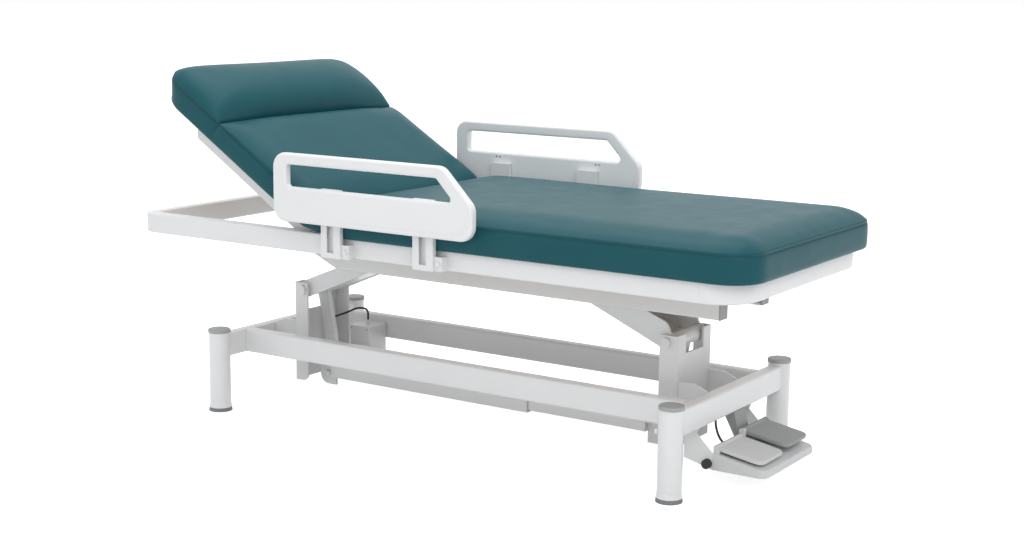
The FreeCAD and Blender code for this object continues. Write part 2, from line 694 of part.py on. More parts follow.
def base_frame():
    for hand, sign in SIDE.items():
        rail = tube_body("base_rail_" + hand, "leg_pitch_long - base_tube", "base_tube", "base_height",
                         "base_wall", "base_edge", "x")
        bind(rail, x="base_shift", y="%d * (rail_outer - base_tube / 2)" % sign, z="base_bottom")
        subpart(rail, "base_rail_" + hand)
    for end, out in END.items():
        tube = tube_body("end_tube_" + end, "leg_pitch_wide", "base_tube", "base_height",
                         "base_wall", "base_edge", "y")
        place = "base_shift + %d * leg_pitch_long / 2" % out
        bind(tube, x=place, z="base_bottom")
        round_legs = [rod("leg_room_%s_%s" % (end, hand), "leg_diameter", "leg_top", "z", place,
                          "%d * leg_pitch_wide / 2" % sign, "leg_top / 2") for hand, sign in SIDE.items()]
        subpart(cut("base_cross_" + end, tube, round_legs), "base_cross_" + end)


END = {"head": -1, "foot": 1}
CORNERS = [(end, out, hand, sign) for end, out in END.items() for hand, sign in SIDE.items()]


def at_legs(name, make):
    """Four copies of a piece that stands on each leg's axis."""
    pieces = []
    for end, out, hand, sign in CORNERS:
        pieces.append(make("%s_%s_%s" % (name, end, hand), "base_shift + %d * leg_pitch_long / 2" % out,
                           "%d * leg_pitch_wide / 2" % sign))
    subpart(group(name, pieces), name)


def leg_tube(name, x, y):
    length = "leg_top - foot_height"
    outer = rod(name + "_outer", "leg_diameter", length, "z", x, y, "foot_height + (%s) / 2" % length)
    inner = rod(name + "_inner", "leg_diameter - 2 * leg_wall", length, "z", x, y,
                "foot_height + (%s) / 2" % length)
    return cut(name, outer, [inner])


def leg_cap(name, x, y):
    body = new_body(name + "_disc")
    plan = sketch_on(body, name + "_plan", "XY_Plane")
    add_circle(plan, "0", "0", "leg_diameter + 2 * leg_cap_over")
    pad(body, plan, "leg_cap_thick")
    fillet(body, name + "_round", "leg_cap_round", lambda edge: near(edge.BoundBox.ZMin, "leg_cap_thick"))
    bind(body, x=x, y=y, z="leg_top")
    plug = rod(name + "_plug", "leg_diameter - 2 * leg_wall - soft_gap", "2 * leg_cap_thick", "z", x, y,
               "leg_top - leg_cap_thick / 2")
    return fuse(name, [body, plug])


def leg_foot(name, x, y):
    foot = doc.addObject("Part::Cone", name + "_flare")
    bind(foot, Radius1="leg_diameter / 2 + foot_flare", Radius2="leg_diameter / 2",
         Height="foot_height", x=x, y=y)
    plug = rod(name + "_plug", "leg_diameter - 2 * leg_wall - soft_gap", "foot_height", "z", x, y, "foot_height")
    return fuse(name, [foot, plug])


# Columns

def column(end, out):
    body = new_body(end + "_column")
    back = "%d * column_back" % out
    inner_face = "%d * (column_back - column_wall)" % out
    edge = "%d * (column_back - column_depth)" % out
    half = "column_width / 2"
    section = sketch_on(body, "column_section_" + end, "XY_Plane", "column_foot")
    add_loop(section, [(back, "-" + half), (edge, "-" + half), (edge, "-%s + column_wall" % half),
                       (inner_face, "-%s + column_wall" % half), (inner_face, "%s - column_wall" % half),
                       (edge, "%s - column_wall" % half), (edge, half), (back, half)])
    pad(body, section, "column_top - column_foot")
    notch = sketch_on(body, "column_notch_" + end, "YZ_Plane")
    add_loop(notch, rectangle("-notch_half", "notch_half", "notch_bottom_" + end, "column_top + 1"))
    pocket(body, notch)
    eyes = sketch_on(body, "column_eyes_" + end, "XZ_Plane")
    add_circle(eyes, "0", "pivot_height", "shaft_diameter")
    pocket(body, eyes)
    fillet(body, "column_bends_" + end, "column_bend",
           lambda item: runs_along(item, "z") and near(middle(item).x, back) and near(abs(middle(item).y), half))
    fillet(body, "cheek_ends_" + end, "cheek_round",
           lambda item: runs_along(item, "y") and near(middle(item).x, edge) and near(middle(item).z, "column_foot"))
    bind(body, x="base_shift + %d * pivot_offset" % out)
    subpart(body, end + "_column")


def column_gussets():
    """Plates that tie each column's back to the end tube of the base."""
    start = "(pivot_offset + column_back)"
    finish = "((leg_pitch_long - base_tube) / 2)"
    plates = []
    for end, out, hand, sign in CORNERS:
        body = new_body("gusset_%s_%s" % (end, hand))
        side = sketch_on(body, "gusset_side_%s_%s" % (end, hand), "XZ_Plane")
        top = "(base_bottom + base_height)"
        corners = [(start, "base_bottom"), (finish, "base_bottom"), (finish, top),
                   (finish + " - gusset_run", top + " + gusset_rise"), (start, top + " + gusset_rise")]
        add_loop(side, [("%d * (%s)" % (out, across), up) for across, up in corners])
        pad(body, side, "column_wall", both_ways=True)
        bind(body, x="base_shift", y="%d * (column_width / 2 - column_bend - column_wall / 2)" % sign)
        plates.append(body)
    subpart(group("column_gussets", plates), "column_gussets")


def pivot_shafts():
    shafts = []
    for end, out in END.items():
        x = "base_shift + %d * pivot_offset" % out
        shaft = rod("shaft_bar_" + end, "shaft_diameter", "column_width", "y", x, "0", "pivot_height")
        nuts = [rod("shaft_nut_%s_%s" % (end, hand), "nut_diameter", "nut_width", "y", x,
                    "%d * (column_width + nut_width) / 2" % sign, "pivot_height") for hand, sign in SIDE.items()]
        shafts.append(fuse("pivot_shaft_" + end, [shaft] + nuts))
    subpart(group("pivot_shafts", shafts), "pivot_shafts")


def pivot_bushes():
    free = "(column_width / 2 - column_wall - arm_width / 2 - side_gap)"
    bushes = []
    for end, out, hand, sign in CORNERS:
        x = "base_shift + %d * pivot_offset" % out
        y = "%d * (column_width / 2 - column_wall - %s / 2)" % (sign, free)
        outer = rod("bush_outer_%s_%s" % (end, hand), "bush_diameter", free, "y", x, y, "pivot_height")
        bore = rod("bush_bore_%s_%s" % (end, hand), "shaft_diameter", free, "y", x, y, "pivot_height")
        bushes.append(cut("bush_%s_%s" % (end, hand), outer, [bore]))
    subpart(group("pivot_bushes", bushes), "pivot_bushes")


# Lifting arms, drawn about the arm pivot and turned to their angle

ARM_LENGTH = "((frame_bottom - beam_height / 2 - pivot_height) / sin(arm_angle))"
ARM_PIN_HEIGHT = "(frame_bottom - beam_height / 2)"
CHANNEL_CLEAR = "(beam_height - 2 * beam_wall)"


def arm_pin_x(out):
    return "base_shift + %d * (pivot_offset - %s * cos(arm_angle))" % (out, ARM_LENGTH)


def arm_frame(end, out):
    """Two cheeks with a floor plate between them, drawn along the arm and turned up."""
    low = "-arm_depth / 2"
    cheeks = []
    for hand, sign in SIDE.items():
        body = new_body("arm_cheek_%s_%s" % (end, hand))
        side = sketch_on(body, "cheek_side_%s_%s" % (end, hand), "XZ_Plane")
        corners = [(low, low), (ARM_LENGTH + " + arm_tip", low + " + arm_taper"),
                   (ARM_LENGTH + " + arm_tip", "arm_depth / 2 - arm_taper"),
                   ("arm_hump_end", "arm_depth / 2 + arm_hump_" + end),
                   ("arm_hump_start + arm_hump_" + end, "arm_depth / 2 + arm_hump_" + end),
                   ("arm_hump_start", "arm_depth / 2"), (low, "arm_depth / 2")]
        add_loop(side, [("%d * (%s)" % (-out, across), up) for across, up in corners])
        pad(body, side, "arm_wall", both_ways=True)
        eyes = sketch_on(body, "cheek_eyes_%s_%s" % (end, hand), "XZ_Plane")
        add_circle(eyes, "0", "0", "shaft_diameter + 2 * running_gap")
        add_circle(eyes, "%d * %s" % (-out, ARM_LENGTH), "0", "shaft_diameter")
        pocket(body, eyes)
        fillet(body, "cheek_tips_%s_%s" % (end, hand), "arm_tip - arm_taper",
               lambda item: runs_along(item, "y") and near(abs(middle(item).x), ARM_LENGTH + " + arm_tip"))
        fillet(body, "cheek_backs_%s_%s" % (end, hand), "arm_depth / 2 - 1",
               lambda item: runs_along(item, "y") and near(abs(middle(item).x), "arm_depth / 2"))
        bind(body, y="%d * (arm_width - arm_wall) / 2" % sign)
        cheeks.append(body)
    floor = box(end + "_floor_flat", "arm_floor_end - arm_floor_start", "arm_width - 2 * arm_wall",
                "arm_floor_thick", "%d * (arm_floor_start + arm_floor_end) / 2" % -out, "0", low + " + arm_taper")
    arm = fuse(end + "_arm_frame", cheeks + [floor])
    arm.Placement = Placement(Vector(), Rotation(Vector(0, out, 0), 10))
    arm.setExpression("Placement.Rotation.Angle", formula("arm_angle"))
    bind(arm, x="base_shift + %d * pivot_offset" % out, z="pivot_height")
    subpart(arm, end + "_arm_frame")


def arm_lever(end, out):
    """The tube on the pivot shaft with the lever that the drive pushes."""
    reach = "sqrt(lever_drop ^ 2 + lever_lean ^ 2)"
    hub = rod("hub_tube_" + end, "hub_diameter", "arm_width - 2 * arm_wall", "y")
    bar = box("lever_bar_" + end, "lever_width", "lever_thick", reach, "0", "0", "-" + reach)
    boss = rod("lever_boss_" + end, "lever_boss", "boss_length", "y", "0", "0", "-" + reach)
    bore = rod("hub_bore_" + end, "shaft_diameter + 2 * running_gap", "arm_width", "y")
    pin_room = rod("boss_bore_" + end, "drive_pin", "arm_width", "y", "0", "0", "-" + reach)
    lever = cut(end + "_lever", fuse("lever_blank_" + end, [hub, bar, boss]), [bore, pin_room])
    lever.Placement = Placement(Vector(), Rotation(Vector(0, out, 0), 10))
    lever.setExpression("Placement.Rotation.Angle", formula("atan(lever_lean / lever_drop)"))
    bind(lever, x="base_shift + %d * pivot_offset" % out, z="pivot_height")
    subpart(lever, end + "_lever")
    pin = rod(end + "_drive_pin", "drive_pin", "boss_length + 2 * (side_gap + clevis_thick + pin_past)", "y",
              drive_pin_x(out), "0", "pivot_height - lever_drop")
    subpart(pin, end + "_drive_pin")


def drive_pin_x(out):
    return "base_shift + %d * (pivot_offset - lever_lean)" % out


def arm_pins(end, out):
    pin = rod("arm_pin_bar_" + end, "shaft_diameter", "2 * (beam_outer - beam_wall - side_gap)", "y",
              arm_pin_x(out), "0", ARM_PIN_HEIGHT)
    collar = rod("arm_pin_collar_" + end, "spacer_diameter", "arm_width - 2 * arm_wall", "y",
                 arm_pin_x(out), "0", ARM_PIN_HEIGHT)
    subpart(fuse(end + "_arm_pin", [pin, collar]), end + "_arm_pin")


def foot_rollers():
    rollers = []
    for hand, sign in SIDE.items():
        y = "%d * (beam_outer - beam_wall - 2 * side_gap - roller_width / 2)" % sign
        tyre = rod("roller_disc_" + hand, CHANNEL_CLEAR + " - 2 * roller_gap", "roller_width", "y",
                   arm_pin_x(1), y, ARM_PIN_HEIGHT)
        bore = rod("roller_bore_" + hand, "shaft_diameter", "roller_width", "y", arm_pin_x(1), y, ARM_PIN_HEIGHT)
        rollers.append(cut("roller_" + hand, tyre, [bore]))
    subpart(group("foot_rollers", rollers), "foot_rollers")


def head_bearings():
    blocks = []
    for hand, sign in SIDE.items():
        depth = "(beam_depth - beam_wall - block_inset)"
        y = "%d * (beam_outer - beam_wall - %s / 2)" % (sign, depth)
        blank = box("bearing_blank_" + hand, "block_width", depth, CHANNEL_CLEAR, arm_pin_x(-1), y,
                    "frame_bottom - beam_height + beam_wall")
        bore = rod("bearing_bore_" + hand, "shaft_diameter + 2 * running_gap", depth, "y",
                   arm_pin_x(-1), y, ARM_PIN_HEIGHT)
        blocks.append(cut("bearing_block_" + hand, blank, [bore]))
    subpart(group("head_bearing_blocks", blocks), "head_bearing_blocks")


# Telescopic drive: the housing hangs on the head lever, the inner tube on the foot lever

DRIVE_END = "(pivot_offset - lever_lean - drive_setback)"


def drive_housing():
    length = "(%s + drive_mouth)" % DRIVE_END
    body = tube_body("housing_tube", length, "drive_width", "drive_height", "drive_wall", "drive_wall", "x")
    window = sketch_on(body, "housing_window", "XZ_Plane")
    start = "-%s / 2 + window_start" % length
    add_loop(window, rectangle(start, start + " + window_long", "(drive_height - window_high) / 2 - window_drop",
                               "(drive_height + window_high) / 2 - window_drop"))
    pocket(body, window, "drive_width", both_ways=False, backwards=False)
    fillet(body, "window_ends", "window_high / 2 - 0.1",
           lambda item: runs_along(item, "y") and item.Length < value("2 * drive_wall"))
    bind(body, x="base_shift - %s + %s / 2" % (DRIVE_END, length), z="drive_bottom")
    end_pieces = clevis("housing_clevis", -1, "drive_width", "drive_height", "drive_bottom")
    subpart(fuse("drive_housing_welded", [body] + end_pieces), "drive_housing")


def drive_tube():
    slip = "(drive_wall + drive_gap)"
    length = "(%s - drive_inner_end)" % DRIVE_END
    tube = tube_body("sliding_tube", length, "drive_width - 2 * %s" % slip, "drive_height - 2 * %s" % slip,
                     "drive_wall", "drive_wall", "x")
    bind(tube, x="base_shift + %s - %s / 2" % (DRIVE_END, length), z="drive_bottom + " + slip)
    end_pieces = clevis("tube_clevis", 1, "drive_width - 2 * " + slip, "drive_height - 2 * " + slip,
                        "drive_bottom + " + slip)
    subpart(fuse("drive_tube_welded", [tube] + end_pieces), "drive_tube")


def clevis(name, out, plate_width, plate_height, plate_bottom):
    """An end plate on a drive tube with two eye plates about the lever's boss."""
    plate = box(name + "_plate", "clevis_thick", plate_width, plate_height,
                "base_shift + %d * (%s + clevis_thick / 2)" % (out, DRIVE_END), "0", plate_bottom)
    pieces = [plate]
    for hand, sign in SIDE.items():
        body = new_body("%s_eye_%s" % (name, hand))
        side = sketch_on(body, "%s_side_%s" % (name, hand), "XZ_Plane")
        corners = rectangle("-clevis_past", "drive_setback - clevis_thick", "-clevis_half", "clevis_half")
        add_loop(side, [("%d * (%s)" % (-out, across), up) for across, up in corners])
        add_circle(side, "0", "0", "drive_pin + 2 * running_gap")
        pad(body, side, "clevis_thick", both_ways=True)
        fillet(body, "%s_round_%s" % (name, hand), "clevis_past",
               lambda item: runs_along(item, "y") and near(abs(middle(item).x), "clevis_past")
               and near(abs(middle(item).z), "clevis_half"))
        bind(body, x=drive_pin_x(out), y="%d * (boss_length / 2 + side_gap + clevis_thick / 2)" % sign,
             z="pivot_height - lever_drop")
        pieces.append(body)
    return pieces


# Control box and cables

def rounded_tube_path(points, diameter):
    """A round tube along straight runs joined by tangent arcs."""
    edges = []
    start = points[0]
    for index in range(1, len(points) - 1):
        before, corner, after = points[index - 1], points[index], points[index + 1]
        into, out_of = (corner - before), (after - corner)
        shorter = min(into.Length, out_of.Length)
        turn = into.getAngle(out_of)
        trim = 0.45 * shorter
        print("cable arc radius %.1f" % (trim / math.tan(turn / 2)))
        into.normalize()
        out_of.normalize()
        first, last = corner - into * trim, corner + out_of * trim
        inward = (out_of - into).normalize()
        radius = trim / math.tan(turn / 2)
        middle_point = corner + inward * (radius / math.cos(turn / 2) - radius)
        edges.append(Part.LineSegment(start, first).toShape())
        edges.append(Part.Arc(first, middle_point, last).toShape())
        start = last
    edges.append(Part.LineSegment(start, points[-1]).toShape())
    wire = Part.Wire(edges)
    direction = (points[1] - points[0]).normalize()
    ring = Part.Wire([Part.Circle(points[0], direction, diameter / 2).toShape()])
    tube = wire.makePipeShell([ring], True, False)
    expected = math.pi * diameter ** 2 / 4 * wire.Length
    if abs(tube.Volume / expected - 1) > 0.01:
        raise RuntimeError("the cable's volume does not match its length")
    print("cable length %.0f" % wire.Length)
    return tube


def add_cable(name, points):
    item = doc.addObject("Part::Feature", name)
    item.Shape = rounded_tube_path([Vector(*[value(text) for text in point]) for point in points],
                                   value("cable_diameter"))
    subpart(item, name)


BOX_Y = "(rail_outer - base_tube - box_wide / 2)"


def control_box():
    body = new_body("box_shell")
    plan = sketch_on(body, "box_plan", "XY_Plane")
    add_loop(plan, rectangle("-box_long / 2", "box_long / 2", "-box_wide / 2", "box_wide / 2"))
    pad(body, plan, "box_high")
    fillet(body, "box_edges", "box_round", lambda item: runs_along(item, "z"))
    bind(body, x="base_shift + box_place - box_long / 2", y=BOX_Y, z="box_bottom")
    gland = rod("box_gland", "2 * cable_diameter", "gland_long", "z", "base_shift + box_place - box_long / 2",
                BOX_Y, "box_bottom + box_high + gland_long / 2")
    subpart(fuse("control_box_whole", [body, gland]), "control_box")
    x, top = "base_shift + box_place - box_long / 2", "box_bottom + box_high + gland_long"
    inner_face = "base_shift - pivot_offset - column_back + column_wall + cable_diameter / 2 + 1"
    add_cable("control_cable", [(x, BOX_Y, top), (x, BOX_Y, top + " + 32"),
                                (x + " - 9", BOX_Y + " - 36", top + " + 42"),
                                (x + " - 24", BOX_Y + " - 70", top + " + 30"),
                                (inner_face + " + 12", BOX_Y + " - 92", top + " + 12"),
                                (inner_face, "40", top + " - 24")])


# Side guards

def guard(name, sign, bottom):
    body = new_body(name)
    outline = sketch_on(body, name + "_outline", "XZ_Plane")
    add_loop(outline, [("guard_head", "0"), ("guard_foot", "0"), ("guard_foot", "guard_slope_side"),
                       ("guard_foot - guard_slope_top", "guard_height"), ("guard_head", "guard_height")])
    pad(body, outline, "guard_thick", both_ways=True)
    grip = sketch_on(body, name + "_grip", "XZ_Plane")
    top = "guard_height - grip_bar"
    add_loop(grip, [("guard_head + grip_left", top + " - grip_height"),
                    ("guard_foot - grip_low_right", top + " - grip_height"),
                    ("guard_foot - grip_top_right", top), ("guard_head + grip_left", top)])
    pocket(body, grip)
    half = value("guard_thick / 2")

    def outline_corner(item):
        x, z = middle(item).x, middle(item).z
        return runs_along(item, "y") and (near(x, "guard_head") or near(x, "guard_foot") or near(z, "guard_height"))

    fillet(body, name + "_corners", "guard_corner", outline_corner)
    fillet(body, name + "_grip_corners", "grip_corner",
           lambda item: runs_along(item, "y") and item.Length > half
           and value("guard_head + 40") < middle(item).x < value("guard_foot - 45")
           and value("guard_height - grip_bar - grip_height - 1") < middle(item).z < value("guard_height - 25"))

    def face_outline(item):
        return near(abs(middle(item).y), "guard_thick / 2")

    fillet(body, name + "_edges", "guard_edge", face_outline)
    bind(body, y="%d * (guard_inner + guard_thick / 2)" % sign, z=bottom)
    subpart(body, name)


def guard_sliders(hand, sign, height):
    """T-shaped slides on the guard that run in the posts' slots."""
    slides = []
    for place in ("head", "foot"):
        x = "post_" + place
        neck = box("slide_neck_%s_%s" % (hand, place), "slot_width - 2 * slider_clear",
                   "guard_inner - post_outer + post_lip + slider_clear", "slider_height", x,
                   "%d * (guard_inner + post_outer - post_lip - slider_clear) / 2" % sign,
                   "%s - slider_height / 2" % height)
        plate_width = "(post_thick - post_lip - post_back - 2 * slider_clear)"
        plate = box("slide_plate_%s_%s" % (hand, place), "slot_inside - 2 * slider_clear", plate_width,
                    "slider_height", x,
                    "%d * (post_outer - post_lip - slider_clear - %s / 2)" % (sign, plate_width),
                    "%s - slider_height / 2" % height)
        slides.append(fuse("slide_%s_%s" % (hand, place), [neck, plate]))
    subpart(group("guard_slides_" + hand, slides), "guard_slides_" + hand)


def guard_posts(hand, sign):
    posts = []
    for place in ("head", "foot"):
        name = "post_%s_%s" % (hand, place)
        body = new_body(name)
        plan = sketch_on(body, name + "_plan", "XY_Plane")
        add_loop(plan, rectangle("-post_width / 2", "post_width / 2", "-post_thick", "0"))
        pad(body, plan, "post_height")
        room = sketch_on(body, name + "_room", "XY_Plane", "slot_start")
        add_loop(room, rectangle("-slot_inside / 2", "slot_inside / 2", "-post_thick + post_back", "-post_lip"))
        pocket(body, room, "post_height - slot_start - slot_end", both_ways=False, backwards=True)
        slot = sketch_on(body, name + "_slot", "XY_Plane", "slot_start")
        add_loop(slot, rectangle("-slot_width / 2", "slot_width / 2", "-post_lip - 1", "1"))
        pocket(body, slot, "post_height - slot_start - slot_end", both_ways=False, backwards=True)
        fillet(body, name + "_edges", "post_edge",
               lambda item: runs_along(item, "z") and near(middle(item).y, "0") and near(abs(middle(item).x),
                                                                                        "post_width / 2"))
        body.Placement = Placement(Vector(), Rotation(Vector(0, 0, 1), 0 if sign > 0 else 180))
        bind(body, x="post_" + place, y="%d * post_outer" % sign, z="frame_bottom")
        posts.append(body)
    subpart(group("guard_posts_" + hand, posts), "guard_posts_" + hand)


def post_fixings():
    spacers, clips = [], []
    rail_face = "(frame_width / 2)"
    room = "(post_outer - post_thick - frame_width / 2)"
    depth = "(post_outer - post_thick / 2 - frame_width / 2)"
    for end, out, hand, sign in CORNERS:
        name = "%s_%s" % (end, hand)
        spacers.append(box("spacer_" + name, "post_width / 2", room, "spacer_height", "post_" + end,
                           "%d * (%s + %s / 2)" % (sign, rail_face, room), "frame_bottom + side_gap"))
        x = "post_%s + (post_width + clip_width) / 2" % end
        block = box("clip_block_" + name, "clip_width", depth, "clip_height", x,
                    "%d * (%s + %s / 2)" % (sign, rail_face, depth), "frame_bottom + side_gap")
        bolt = rod("clip_bolt_" + name, "bolt_head", "bolt_rise", "y", x,
                   "%d * (%s + %s + bolt_rise / 2)" % (sign, rail_face, depth),
                   "frame_bottom + side_gap + clip_height / 2")
        clips.append(fuse("clip_" + name, [block, bolt]))
    subpart(group("post_spacers", spacers), "post_spacers")
    subpart(group("post_clips", clips), "post_clips")


# Foot control

def pedal_housing():
    """A wedge-shaped housing with three ears that hold the two pedal pins."""
    body = new_body("housing_wedge")
    side = sketch_on(body, "housing_side", "XZ_Plane")
    front = "tray_back + tray_long"
    add_loop(side, [("tray_back", "tray_bottom"), (front, "tray_bottom"), (front, "tray_bottom + tray_front_high"),
                    ("tray_back", "tray_bottom + tray_back_high")])
    pad(body, side, "tray_wide", both_ways=True)
    fillet(body, "housing_corners", "tray_corner",
           lambda edge: runs_along(edge, "z") and near(middle(edge).x, value(front)))
    fillet(body, "housing_top_edge", "tray_round",
           lambda edge: middle(edge).z > value("tray_bottom + tray_front_high") - 1
           and middle(edge).x > value("tray_back") + 1)
    ears = []
    outer = "(pedal_gap / 2 + pedal_wide + side_gap + ear_thick / 2)"
    for name, y, high in (("near", "-" + outer, "pedal_low"), ("middle", "0", "pedal_high"),
                          ("far", outer, "pedal_high")):
        ear = new_body("ear_" + name)
        side = sketch_on(ear, "ear_side_" + name, "XZ_Plane")
        add_loop(side, rectangle("-pedal_setback", "ear_long - pedal_setback", "tray_back_high / 2",
                                 "tray_back_high + %s + pedal_pin" % high))
        pad(ear, side, "ear_thick" if name != "middle" else "pedal_gap - 2 * side_gap", both_ways=True)
        fillet(ear, "ear_round_" + name, "pedal_pin / 2",
               lambda edge: runs_along(edge, "y") and middle(edge).z > value("tray_back_high + pedal_low"))
        bind(ear, x="tray_back + pedal_setback", y=y, z="tray_bottom")
        ears.append(ear)
    pins = [pedal_pin_rod(name, "shaft room ") for name in ("near", "far")]
    subpart(cut("pedal_housing", fuse("housing_with_ears", [body] + ears), pins), "pedal_housing")
    subpart(group("pedal_pins", [pedal_pin_rod(name, "pin ") for name in ("near", "far")]), "pedal_pins")


PEDAL_SIDE = {"near": (-1, "pedal_low"), "far": (1, "pedal_high")}


def pedal_pin_rod(name, purpose):
    sign, high = PEDAL_SIDE[name]
    length = "(pedal_gap / 2 + pedal_wide + side_gap + ear_thick)"
    return rod(purpose.replace(" ", "_") + name, "pedal_pin", length, "y", "tray_back + pedal_setback",
               "%d * %s / 2" % (sign, length), "tray_bottom + tray_back_high + " + high)


def pedal(name, label):
    sign, high = PEDAL_SIDE[name]
    body = new_body(label)
    plan = sketch_on(body, label + "_plan", "XY_Plane", "-pedal_thick / 2")
    add_loop(plan, rectangle("0", "pedal_long", "-pedal_wide / 2", "pedal_wide / 2"))
    pad(body, plan, "pedal_thick")
    fillet(body, label + "_corners", "pedal_corner",
           lambda edge: runs_along(edge, "z") and near(middle(edge).x, "pedal_long"))
    fillet(body, label + "_edges", "pedal_edge",
           lambda edge: near(middle(edge).z, "pedal_thick / 2") and middle(edge).x > 1)
    barrel = rod(label + "_barrel", "2 * pedal_pin", "pedal_wide", "y")
    bore = rod(label + "_bore", "pedal_pin + 2 * running_gap", "pedal_wide + 2", "y")
    whole = cut(label, fuse(label + "_blank", [body, barrel]), [bore])
    body.Label = label + "_plate"
    whole.Placement = Placement(Vector(), Rotation(Vector(0, 1, 0), 10))
    whole.setExpression("Placement.Rotation.Angle", formula("pedal_slope"))
    bind(whole, x="tray_back + pedal_setback", y="%d * (pedal_gap + pedal_wide) / 2" % sign,
         z="tray_bottom + tray_back_high + " + high)
    subpart(whole, label)


def housing_brackets():
    """Side plates from the end tube of the base down to the pedal housing."""
    plates, knobs = [], []
    tube_inner = "(base_shift + (leg_pitch_long - base_tube) / 2)"
    housing_top = "(tray_bottom + tray_back_high)"
    for hand, sign in SIDE.items():
        body = new_body("bracket_" + hand)
        side = sketch_on(body, "bracket_side_" + hand, "XZ_Plane")
        add_loop(side, [("tray_back - bracket_reach", "base_bottom"), ("tray_back - bracket_reach", "tray_bottom + 20"),
                        ("tray_back", "tray_bottom"), ("tray_back", housing_top),
                        ("tray_back - 10", housing_top + " + 8"), (tube_inner + " + 8", "base_bottom - 24"),
                        (tube_inner + " + base_tube / 2", "base_bottom")])
        pad(body, side, "gusset_thick", both_ways=True)
        bind(body, y="%d * (tray_wide / 2 - gusset_thick / 2)" % sign)
        plates.append(body)
        knobs.append(rod("bracket_knob_" + hand, "bumper_diameter", "bumper_thick", "y", "tray_back - bumper_diameter / 2",
                         "%d * (tray_wide + bumper_thick) / 2" % sign, "tray_bottom + bumper_diameter / 2 + 3"))
    subpart(group("housing_brackets", plates), "housing_brackets")
    subpart(group("bracket_knobs", knobs), "bracket_knobs")


def housing_strut():
    """A sloped bar between the end tube's underside and the housing's back."""
    body = new_body("housing_strut")
    side = sketch_on(body, "strut_side", "XZ_Plane")
    tube_inner = "(base_shift + (leg_pitch_long - base_tube) / 2)"
    low = "(tray_bottom + tray_back_high)"
    add_loop(side, [(tube_inner + " + 2", "base_bottom"), ("tray_back", low + " - strut_depth"), ("tray_back", low),
                    (tube_inner + " + base_tube - 2", "base_bottom")])
    pad(body, side, "strut_wide", both_ways=True)
    bind(body, y="strut_place")
    subpart(body, "housing_strut")


def pedal_cable():
    x, z = "base_shift + leg_pitch_long / 2", "base_bottom"
    add_cable("pedal_cable", [(x + " - 10", "-46", z), (x + " - 10", "-46", z + " - 26"),
                              (x + " - 2", "-44", z + " - 54"), ("tray_back - 16", "-42", z + " - 78"),
                              ("tray_back", "-42", z + " - 78")])


def build():
    frame_rails()
    frame_ends()
    frame_cross_tubes()
    under_beams()
    beam_caps()
    seat()
    back_upholstery()
    back_frame()
    hinge_pins()
    base_frame()
    at_legs("legs", leg_tube)
    at_legs("leg_caps", leg_cap)
    at_legs("leg_feet", leg_foot)
    for end, out in END.items():
        column(end, out)
        arm_frame(end, out)
        arm_lever(end, out)
        arm_pins(end, out)
    column_gussets()
    pivot_shafts()
    pivot_bushes()
    foot_rollers()
    head_bearings()
    drive_housing()
    drive_tube()
    control_box()
    guard("guard_right", -1, "guard_bottom_near")
    guard("guard_left", 1, "guard_bottom_near + guard_raise_far")
    guard_sliders("right", -1, "guard_bottom_near + slider_above")
    guard_sliders("left", 1, "guard_bottom_near + guard_raise_far + slider_above")
    for hand, sign in SIDE.items():
        guard_posts(hand, sign)
    post_fixings()
    pedal_housing()
    pedal("near", "pedal_down")
    pedal("far", "pedal_up")
    housing_brackets()
    housing_strut()
    pedal_cable()
    doc.recompute()


def check_and_write():
    for item in doc.Objects:
        if "Invalid" in item.State or "Error" in item.State:
            raise RuntimeError("%s did not recompute: %s" % (item.Name, item.State))
    for item in SUBPARTS:
        if item.Shape.isNull() or not item.Shape.isValid() or not item.Shape.Solids:
            raise RuntimeError("%s has no valid solid" % item.Label)
    os.makedirs("parts", exist_ok=True)
    for item in SUBPARTS:
        item.Shape.exportStep("parts/%s.step" % item.Label)
    print("%d sub-parts" % len(SUBPARTS))


build()
check_and_write()
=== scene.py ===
"""A height-adjustable examination table with a raised backrest, side guards and foot pedals."""

import json
import math

import bmesh
import bpy
from mathutils import Matrix, Vector
from mathutils.bvhtree import BVHTree


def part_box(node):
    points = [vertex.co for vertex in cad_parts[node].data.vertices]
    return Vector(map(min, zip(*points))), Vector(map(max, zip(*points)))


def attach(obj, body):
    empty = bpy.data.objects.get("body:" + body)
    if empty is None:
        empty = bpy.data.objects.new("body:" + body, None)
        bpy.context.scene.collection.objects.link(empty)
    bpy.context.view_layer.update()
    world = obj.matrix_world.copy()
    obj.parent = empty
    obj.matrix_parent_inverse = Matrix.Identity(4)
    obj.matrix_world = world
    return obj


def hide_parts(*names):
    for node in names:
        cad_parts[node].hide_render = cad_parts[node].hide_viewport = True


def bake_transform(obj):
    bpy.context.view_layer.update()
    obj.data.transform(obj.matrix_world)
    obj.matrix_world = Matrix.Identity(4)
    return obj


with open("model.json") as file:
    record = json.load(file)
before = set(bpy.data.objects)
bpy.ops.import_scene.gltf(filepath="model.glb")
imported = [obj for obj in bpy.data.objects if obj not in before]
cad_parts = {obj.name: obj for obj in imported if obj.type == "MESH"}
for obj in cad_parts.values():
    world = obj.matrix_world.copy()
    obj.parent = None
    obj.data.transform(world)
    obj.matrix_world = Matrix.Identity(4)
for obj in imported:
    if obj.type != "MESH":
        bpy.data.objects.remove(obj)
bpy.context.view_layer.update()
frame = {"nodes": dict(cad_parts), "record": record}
nodes = frame["nodes"]

SLOT_OF = {part["node"]: part["material_slot"] for part in frame["record"]["subparts"]}

